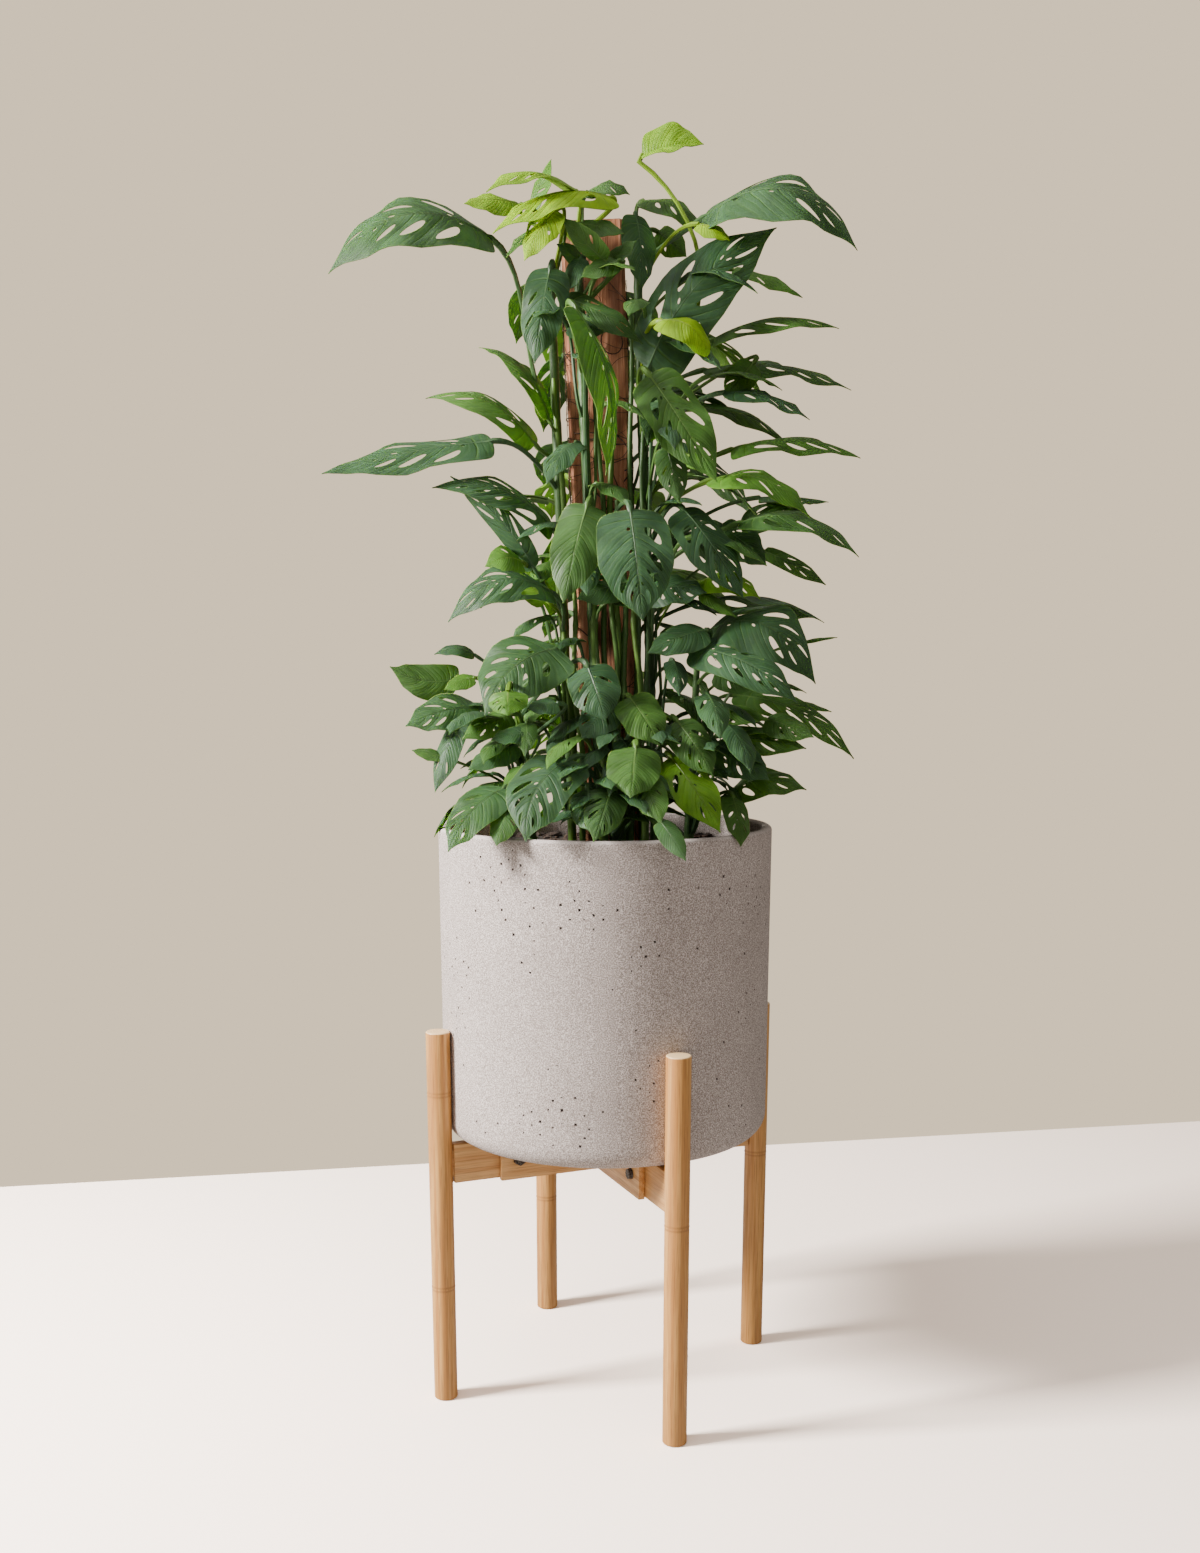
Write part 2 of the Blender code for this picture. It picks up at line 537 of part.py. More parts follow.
def make_bolt(name, index, group, material):
    """Make the round-headed bolt that clamps an arm between its slats."""
    turn = leg_turn(index)
    middle = SLAT_TOP - SLAT_HEIGHT / 2
    outer = ARM_THICK / 2 + GAP + SLAT_THICK
    radius, height = BOLT_HEAD
    bpy.ops.mesh.primitive_cylinder_add(vertices=8, radius=BOLT_RADIUS, depth=1.0)
    thing = bpy.context.object
    mesh = bmesh.new()
    mesh.from_mesh(thing.data)
    bottom = -outer - GAP - NUT[1] - BOLT_PAST_NUT
    for vert in mesh.verts:
        vert.co.z = outer + GAP if vert.co.z > 0 else bottom
    cap = [f for f in mesh.faces if f.normal.z > 0.9]
    bmesh.ops.inset_region(mesh, faces=cap, thickness=0.0)
    for vert in cap[0].verts:
        vert.co.x *= radius / BOLT_RADIUS
        vert.co.y *= radius / BOLT_RADIUS
    raised = bmesh.ops.extrude_face_region(mesh, geom=cap)["geom"]
    bmesh.ops.delete(mesh, geom=cap, context="FACES_ONLY")
    for vert in (v for v in raised if isinstance(v, bmesh.types.BMVert)):
        vert.co.z += height
        vert.co.x *= 0.85
        vert.co.y *= 0.85
    bmesh.ops.recalc_face_normals(mesh, faces=mesh.faces)
    mesh.to_mesh(thing.data)
    mesh.free()
    thing.data.transform(Matrix.Rotation(math.radians(90.0), 4, "X"))
    thing.data.transform(Matrix.Rotation(turn, 4, "Z") @ Matrix.Translation((BOLT_PLACE, 0, middle)))
    return finish(thing, name, group, material)


def make_nut(name, index, group, material):
    """Make the hexagonal nut on the end of a bolt."""
    turn = leg_turn(index)
    middle = SLAT_TOP - SLAT_HEIGHT / 2
    outer = ARM_THICK / 2 + GAP + SLAT_THICK
    radius, height = NUT
    centre = (BOLT_PLACE, outer + GAP + height / 2, middle)
    thing = rod(radius, height, centre, turn, 6, True)
    hole = rod(BOLT_RADIUS + GAP, 0.012, centre, turn, 8, True)
    modifier = thing.modifiers.new("Bore", "BOOLEAN")
    modifier.operation = "DIFFERENCE"
    modifier.object = hole
    modifier.solver = "EXACT"
    bake(thing)
    bpy.data.objects.remove(hole, do_unlink=True)
    return finish(thing, name, group, material)


def direction(azimuth, elevation):
    """Return the unit vector of a direction in degrees, azimuth from +X and elevation up."""
    flat = math.cos(math.radians(elevation))
    turn = math.radians(azimuth)
    up = math.sin(math.radians(elevation))
    return Vector((flat * math.cos(turn), flat * math.sin(turn), up))


class Blade:
    """A leaf's blade as a surface over its length t and its breadth v, in metres."""

    def __init__(self, leaf):
        self.leaf = leaf
        self.base = Vector(leaf.base) * 0.01
        run = Vector(leaf.tip) * 0.01 - self.base
        self.length = run.length
        self.along = run.normalized()
        facing = direction(*leaf.face)
        self.normal = (facing - facing.dot(self.along) * self.along).normalized()
        self.side = self.along.cross(self.normal)

    def half_width(self, t):
        """Return the half width at t: broad near the base, drawn out to a tip."""
        if t >= 1.0:
            return 0.0
        swell = (t / WIDEST) ** 0.5 * ((1.0 - t) / (1.0 - WIDEST)) ** 1.1
        return max(NECK_WIDTH / 2, swell * self.leaf.width * 0.005)

    def point(self, t, v):
        """Return the point at t from base to tip and v from -1 to 1 across."""
        part = abs(v)
        reach = t + SLANT * math.sin(math.pi * t) * part ** 1.3
        if t < 0.3:
            reach -= LOBE * part * math.sin(math.pi * t / 0.3)
        width = self.half_width(t)
        bow = 4.0 * reach * (1.0 - reach) * self.length
        place = self.base + self.along * (reach * self.length)
        place += self.side * (v * width * 0.98 + self.leaf.bend * bow)
        place += self.normal * (self.leaf.arch * bow - self.leaf.fold * width * part)
        return place

    def start_direction(self):
        """Return the direction in which the midrib leaves the base."""
        slope = 4.0 * (self.leaf.arch * self.normal + self.leaf.bend * self.side)
        return (self.along + slope).normalized()


def angle_about_middle(place):
    """Return the angle of a place in a cell about the cell's middle."""
    return math.atan2(place[1] - 0.5, place[0] - 0.5)


def ring_triangles(outer, inner):
    """Return triangles, as places in the cell, between its corners and its hole."""
    outer = sorted(outer, key=angle_about_middle)
    inner = sorted(inner, key=angle_about_middle)
    triangles = []
    i = 0
    j = 0
    while i < len(outer) or j < len(inner):
        a = outer[i % len(outer)]
        b = inner[j % len(inner)]
        next_a = outer[(i + 1) % len(outer)]
        next_b = inner[(j + 1) % len(inner)]
        angle_a = angle_about_middle(next_a) + (2 * math.pi if i + 1 >= len(outer) else 0.0)
        angle_b = angle_about_middle(next_b) + (2 * math.pi if j + 1 >= len(inner) else 0.0)
        if j >= len(inner) or (i < len(outer) and angle_a <= angle_b):
            triangles.append((a, next_a, b))
            i += 1
        else:
            triangles.append((a, next_b, b))
            j += 1
    return triangles


def cell_triangles(start, end, holed):
    """Return a cell's triangles as (t, breadth) places between two of the blade's rows."""
    if start == 0.0:
        return [((0.0, 1.0), (end, 0.0), (end, 1.0))]
    if end == 1.0:
        return [((start, 0.0), (1.0, 0.0), (start, 1.0))]
    if holed:
        corners = [(0.0, 0.0), (1.0, 0.0), (1.0, 1.0), (0.0, 1.0)]
        places = ring_triangles(corners, HOLE)
    else:
        places = [((0.0, 0.0), (1.0, 0.0), (1.0, 1.0)), ((0.0, 0.0), (1.0, 1.0), (0.0, 1.0))]
    return [tuple((start + p * (end - start), q) for p, q in corner) for corner in places]


def make_blade(leaf):
    """Make one blade with its holes: an open surface that Solidify thickens."""
    blade = Blade(leaf)
    rows = ROWS[leaf.kind]
    mesh = bmesh.new()
    for sign in (-1, 1):
        for start, end in zip(rows, rows[1:]):
            for corners in cell_triangles(start, end, leaf.kind in HOLED):
                mesh.faces.new([mesh.verts.new(blade.point(t, sign * q)) for t, q in corners])
    root = (blade.point(0.0, -1.0), blade.point(0.0, 1.0), blade.point(rows[1], 0.0))
    mesh.faces.new([mesh.verts.new(place) for place in root])
    bmesh.ops.remove_doubles(mesh, verts=mesh.verts, dist=0.00001)
    bmesh.ops.recalc_face_normals(mesh, faces=mesh.faces)
    data = bpy.data.meshes.new("blade")
    mesh.to_mesh(data)
    mesh.free()
    thing = bpy.data.objects.new("blade", data)
    bpy.context.scene.collection.objects.link(thing)
    solid = thing.modifiers.new("Thickness", "SOLIDIFY")
    solid.thickness = BLADE_THICK
    solid.offset = 0.0
    return bake(thing)


def farthest(face, place):
    """Return how far a face's farthest corner is from a place."""
    return max((vert.co - place).length for vert in face.verts)


def make_leaf(leaf, stem):
    """Make a leaf: its blade, with the stalk drawn out of the blade's narrow end."""
    thing = make_blade(leaf)
    path = petiole_points(leaf, stem)
    mesh = bmesh.new()
    mesh.from_mesh(thing.data)
    face = min(mesh.faces, key=lambda item: farthest(item, path[0]))
    centre = path[0]
    heading = -Blade(leaf).start_direction()
    for place, following in zip(path[1:], path[2:] + [path[-1] * 2 - path[-2]]):
        face = bmesh.ops.extrude_discrete_faces(mesh, faces=[face])["faces"][0]
        turn = heading.rotation_difference(following - centre)
        for vert in face.verts:
            offset = turn @ (vert.co - centre)
            vert.co = place + offset.normalized() * PETIOLE_RADIUS
        heading = (following - centre).normalized()
        centre = place
    bmesh.ops.recalc_face_normals(mesh, faces=mesh.faces)
    mesh.to_mesh(thing.data)
    mesh.free()
    return thing


def tube(points, radii, name, resolution):
    """Make a tube through points with a radius at each, as a closed mesh."""
    data = bpy.data.curves.new(name, "CURVE")
    data.dimensions = "3D"
    data.bevel_depth = 1.0
    data.bevel_resolution = resolution
    data.use_fill_caps = True
    spline = data.splines.new("POLY")
    spline.points.add(len(points) - 1)
    for knot, place, radius in zip(spline.points, points, radii):
        knot.co = (*place, 1.0)
        knot.radius = radius
    curve = bpy.data.objects.new(name, data)
    bpy.context.scene.collection.objects.link(curve)
    depsgraph = bpy.context.evaluated_depsgraph_get()
    solid = bpy.data.meshes.new_from_object(curve.evaluated_get(depsgraph))
    mesh = bmesh.new()
    mesh.from_mesh(solid)
    bmesh.ops.remove_doubles(mesh, verts=mesh.verts, dist=0.00001)
    bmesh.ops.recalc_face_normals(mesh, faces=mesh.faces)
    mesh.to_mesh(solid)
    mesh.free()
    thing = bpy.data.objects.new(name, solid)
    thing.matrix_world = curve.matrix_world
    bpy.context.scene.collection.objects.link(thing)
    bpy.data.objects.remove(curve, do_unlink=True)
    return thing


def stem_point(stem, height):
    """Return the stem's centre at a height in metres: upright in the soil, then leaning."""
    foot = Vector(stem.foot) * 0.01
    top = Vector(stem.top[:2]) * 0.01
    low = SOIL_Z + STEM_UPRIGHT
    share = max(0.0, (height - low) / (stem.top[2] * 0.01 - low))
    flat = foot.lerp(top, share)
    return Vector((flat.x, flat.y, height))


def stem_points(stem):
    """Return points along the stem, from under the soil to its top."""
    low = SOIL_Z + STEM_UPRIGHT
    top = stem.top[2] * 0.01
    count = max(2, round((top - low) / STEM_STEP))
    heights = [SOIL_Z - STEM_BURIED, low]
    heights += [low + (top - low) * (i + 1) / count for i in range(count)]
    return [stem_point(stem, height) for height in heights]


def petiole_points(leaf, stem):
    """Return points of the leaf's stalk, from the blade's base into the stem's middle."""
    blade = Blade(leaf)
    flat = blade.base.to_2d() - stem_point(stem, blade.base.z).to_2d()
    top = stem.top[2] * 0.01 - 0.003
    height = min(max(blade.base.z - STALK_DROP * flat.length, SOIL_Z + STEM_UPRIGHT), top)
    if leaf.joint:
        height = leaf.joint * 0.01
    joint = stem_point(stem, height)
    span = (blade.base - joint).length
    out = (blade.base - joint).to_2d().normalized()
    lift = Vector((out.x, out.y, 1.0)).normalized()
    start = blade.base
    first = start - blade.start_direction() * span * STALK_START
    second = joint + lift * span * STALK_END
    steps = STALK_STEPS if span > SHORT_STALK else SHORT_STALK_STEPS
    points = []
    if leaf.bow:
        steps = BOWED_STALK_STEPS
        points.append(start)
        start = start + Vector(BOWED_KNEE)
        first = start + Vector(BOWED_START) * leaf.bow * 0.01
        second = second + Vector((leaf.bow * 0.01, 0.0, 0.0))
    for s in steps:
        points.append(
            start * (1 - s) ** 3
            + first * 3 * s * (1 - s) ** 2
            + second * 3 * s * s * (1 - s)
            + joint * s ** 3
        )
    return points


def back_leaves(rule, stem):
    """Return the leaves that a rule sets behind the plank, with its own seeded draws."""
    draw = random.Random(rule.seed)
    leaves = []
    for i in range(rule.count):
        share = (i + 0.5) / rule.count
        low, high = rule.directions
        turn = low + (high - low) * ((i * BACK_SPREAD) % 1.0)
        low, high = rule.heights
        height = low + (high - low) * share
        reach = draw.uniform(*rule.reach)
        length = draw.uniform(*rule.lengths)
        droop = draw.uniform(*BACK_DROOP)
        base = stem_point(stem, height * 0.01) * 100.0 + direction(turn, 0.0) * reach
        tip = base + direction(turn + draw.uniform(-BACK_TWIST, BACK_TWIST), droop) * length
        kind = LARGE if length > BACK_LARGE else MEDIUM
        width = length * BACK_WIDTH
        leaves.append(Leaf(tuple(base), tuple(tip), width, (turn, BACK_FACE), BACK_ARCH, kind))
    return leaves


def keep_main_body(thing):
    """Fill the sealed hollows and drop the loose scraps that a union leaves."""
    mesh = bmesh.new()
    mesh.from_mesh(thing.data)
    waiting = set(mesh.verts)
    bodies = []
    while waiting:
        body = {waiting.pop()}
        edge = list(body)
        while edge:
            vert = edge.pop()
            for link in vert.link_edges:
                other = link.other_vert(vert)
                if other in waiting:
                    waiting.remove(other)
                    body.add(other)
                    edge.append(other)
        bodies.append(body)
    bodies.sort(key=len)
    for body in bodies[:-1]:
        bmesh.ops.delete(mesh, geom=list(body), context="VERTS")
    mesh.to_mesh(thing.data)
    mesh.free()


def make_vine(name, group, material):
    """Make a leafy stem: its stalks and blades are fused to it by one union."""
    stem = STEMS[name]
    leaves = LEAVES[name] if name in LEAVES else back_leaves(BACK_RULES[name], stem)
    points = stem_points(stem)
    radii = [STEM_RADIUS] * (len(points) - 1) + [STEM_RADIUS * 0.6]
    thing = tube(points, radii, name, 1)
    repeats = new_collection(name + "_repeats")
    for leaf in leaves:
        move_to(make_leaf(leaf, stem), repeats)
    union = thing.modifiers.new("Join", "BOOLEAN")
    union.operation = "UNION"
    union.operand_type = "COLLECTION"
    union.collection = repeats
    union.solver = "EXACT"
    bake(thing)
    for repeat in list(repeats.objects):
        bpy.data.objects.remove(repeat, do_unlink=True)
    bpy.data.collections.remove(repeats)
    keep_main_body(thing)
    return finish(thing, name, group, material)


def centre_on_floor(group):
    """Move every sub-part so that the middle of the whole box's base is the origin."""
    depsgraph = bpy.context.evaluated_depsgraph_get()
    places = []
    for thing in group.objects:
        shape = thing.evaluated_get(depsgraph)
        places += [thing.matrix_world @ vert.co for vert in shape.data.vertices]
    low = Vector([min(place[i] for place in places) for i in range(3)])
    high = Vector([max(place[i] for place in places) for i in range(3)])
    middle = (low + high) / 2
    for thing in list(group.objects) + list(bpy.data.collections[CUTTERS].objects):
        thing.location = (-middle.x, -middle.y, -low.z)


def main():
    """Build every sub-part in one collection."""
    clear_scene()
    group = new_collection(COLLECTION)
    cutters = new_collection(CUTTERS)
    stone = make_material("pot_stone", (0.46, 0.40, 0.37), 0.85)
    earth = make_material("soil_bark", (0.035, 0.022, 0.015), 0.95)
    timber = make_material("plank_wood", (0.30, 0.13, 0.07), 0.85)
    bamboo = make_material("bamboo", (0.68, 0.43, 0.20), 0.45)
    steel = make_material("bolt_steel", (0.10, 0.09, 0.08), 0.40, 1.0)
    green = make_material("foliage", (0.06, 0.15, 0.04), 0.45)
    make_pot(group, stone)
    make_soil(group, cutters, earth)
    make_plank(group, timber)
    for index, side in enumerate(("right", "back", "left", "front")):
        make_leg(f"leg_{side}", index, group, cutters, bamboo)
        make_arm(f"arm_{side}", index, group, cutters, bamboo)
        make_bolt(f"bolt_{side}", index, group, steel)
        make_nut(f"nut_{side}", index, group, steel)
    for index, run in enumerate(("left_right", "front_back")):
        for side, place in ((-1, "a"), (1, "b")):
            make_slat(f"slat_{run}_{place}", index, side, group, cutters, bamboo)
    for name in STEMS:
        make_vine(name, group, green)
    centre_on_floor(group)


if __name__ == "__main__":
    main()
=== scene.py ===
"""The looks of a climbing vine with holed leaves, in a stone pot that a bamboo stand carries.

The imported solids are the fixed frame. Each leafy stem, the pot, the plank and the stand's bamboo
are made again as fine pieces that keep their solids' form. Lengths are metres and +Z is up. Leaves
and stems are placed in centimetres about the pot's axis, as in the solids.
"""
import logging
import math
import random
from collections.abc import Callable
from dataclasses import dataclass
from enum import Enum

import bmesh
import bpy
import numpy as np
from mathutils import Matrix, Vector, noise


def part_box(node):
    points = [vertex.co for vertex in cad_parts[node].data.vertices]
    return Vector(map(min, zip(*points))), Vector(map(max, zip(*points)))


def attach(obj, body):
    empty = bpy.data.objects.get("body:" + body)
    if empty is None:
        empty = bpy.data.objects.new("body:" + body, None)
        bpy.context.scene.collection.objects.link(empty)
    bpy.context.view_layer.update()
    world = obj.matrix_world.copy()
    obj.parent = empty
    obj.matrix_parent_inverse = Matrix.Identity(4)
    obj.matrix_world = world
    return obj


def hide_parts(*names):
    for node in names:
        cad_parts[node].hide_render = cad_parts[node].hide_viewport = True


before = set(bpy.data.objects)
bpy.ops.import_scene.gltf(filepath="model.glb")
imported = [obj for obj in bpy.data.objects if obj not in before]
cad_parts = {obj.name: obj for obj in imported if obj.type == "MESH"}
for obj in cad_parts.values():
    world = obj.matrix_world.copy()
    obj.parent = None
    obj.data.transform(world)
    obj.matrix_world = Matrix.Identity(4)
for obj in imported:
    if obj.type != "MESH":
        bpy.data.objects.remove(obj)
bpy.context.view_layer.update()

LOG = logging.getLogger("vine")
CENTIMETRE = 0.01
HALF_CENTIMETRE = 0.005
MERGE = 0.00001
FACING = 0.9
FULL_TURN = 2 * math.pi
Colour = tuple[float, float, float]
Place = tuple[float, float, float]
Pair = tuple[float, float]
Thing = bpy.types.Object
Material = bpy.types.Material
Socket = bpy.types.NodeSocket
Flat = bpy.types.Mesh
Value = float | tuple[float, ...] | Socket


class Kind(Enum):
    """How large a leaf is, and whether its blade has holes."""

    LARGE = "large"
    MEDIUM = "medium"
    SMALL = "small"
    TINY = "tiny"
    SOLID = "solid"


class Tone(Enum):
    """How green a leaf is, from an old dark one to a young bright one."""

    DARK = 0.0
    MID = 0.4
    FRESH = 0.7
    LIME = 1.0


LARGE, MEDIUM, SMALL, TINY, SOLID = Kind
DARK, MID, FRESH, LIME = Tone


@dataclass(frozen=True)
class Leaf:
    """One leaf, with places and sizes in centimetres and angles in degrees.

    base and tip are the ends of its blade, and width is its breadth. face is the azimuth and
    elevation that its upper side looks to. arch and bend are its bow upwards and sideways, as
    shares of its length. joint is the height where its stalk leaves the stem, or 0 for the rule.
    bow, if any, turns the stalk back under the blade and pulls it that far to the right. fold is
    how steeply the blade's halves droop from the midrib, or rise where it is negative.
    """

    base: Place
    tip: Place
    width: float
    face: Pair
    arch: float
    kind: Kind
    tone: Tone
    bend: float = 0.0
    joint: float = 0.0
    bow: float = 0.0
    fold: float = 0.22


@dataclass(frozen=True)
class Stem:
    """A leafy stem in centimetres: its foot (x, y) at the soil and its top (x, y, z)."""

    foot: Pair
    top: Place


@dataclass(frozen=True)
class LeafRule:
    """Leaves set by rule, with the spans of directions, heights and sizes that they fill.

    drops is how far under the blade its stalk leaves the stem, or None for the solids' rule, and
    lowest is the height that it doesn't leave it under. droop is the blade's slope, swing is how
    far it turns aside, and step is the share of the directions from one leaf to the next. Blades
    over large and medium centimetres are of those kinds. breadth is a blade's as a share of its
    length, elevation is that of its face, and arch is its bow.
    """

    count: int
    directions: Pair
    heights: Pair
    reach: Pair
    lengths: Pair
    seed: int
    tones: tuple[Tone, ...] = (DARK, MID, DARK, FRESH)
    drops: Pair | None = None
    droop: Pair = (-45.0, -5.0)
    swing: float = 20.0
    step: float = 0.618
    large: float = 10.5
    medium: float = 5.8
    lowest: float = 53.0
    breadth: float = 0.46
    elevation: float = 60.0
    arch: float = 0.12


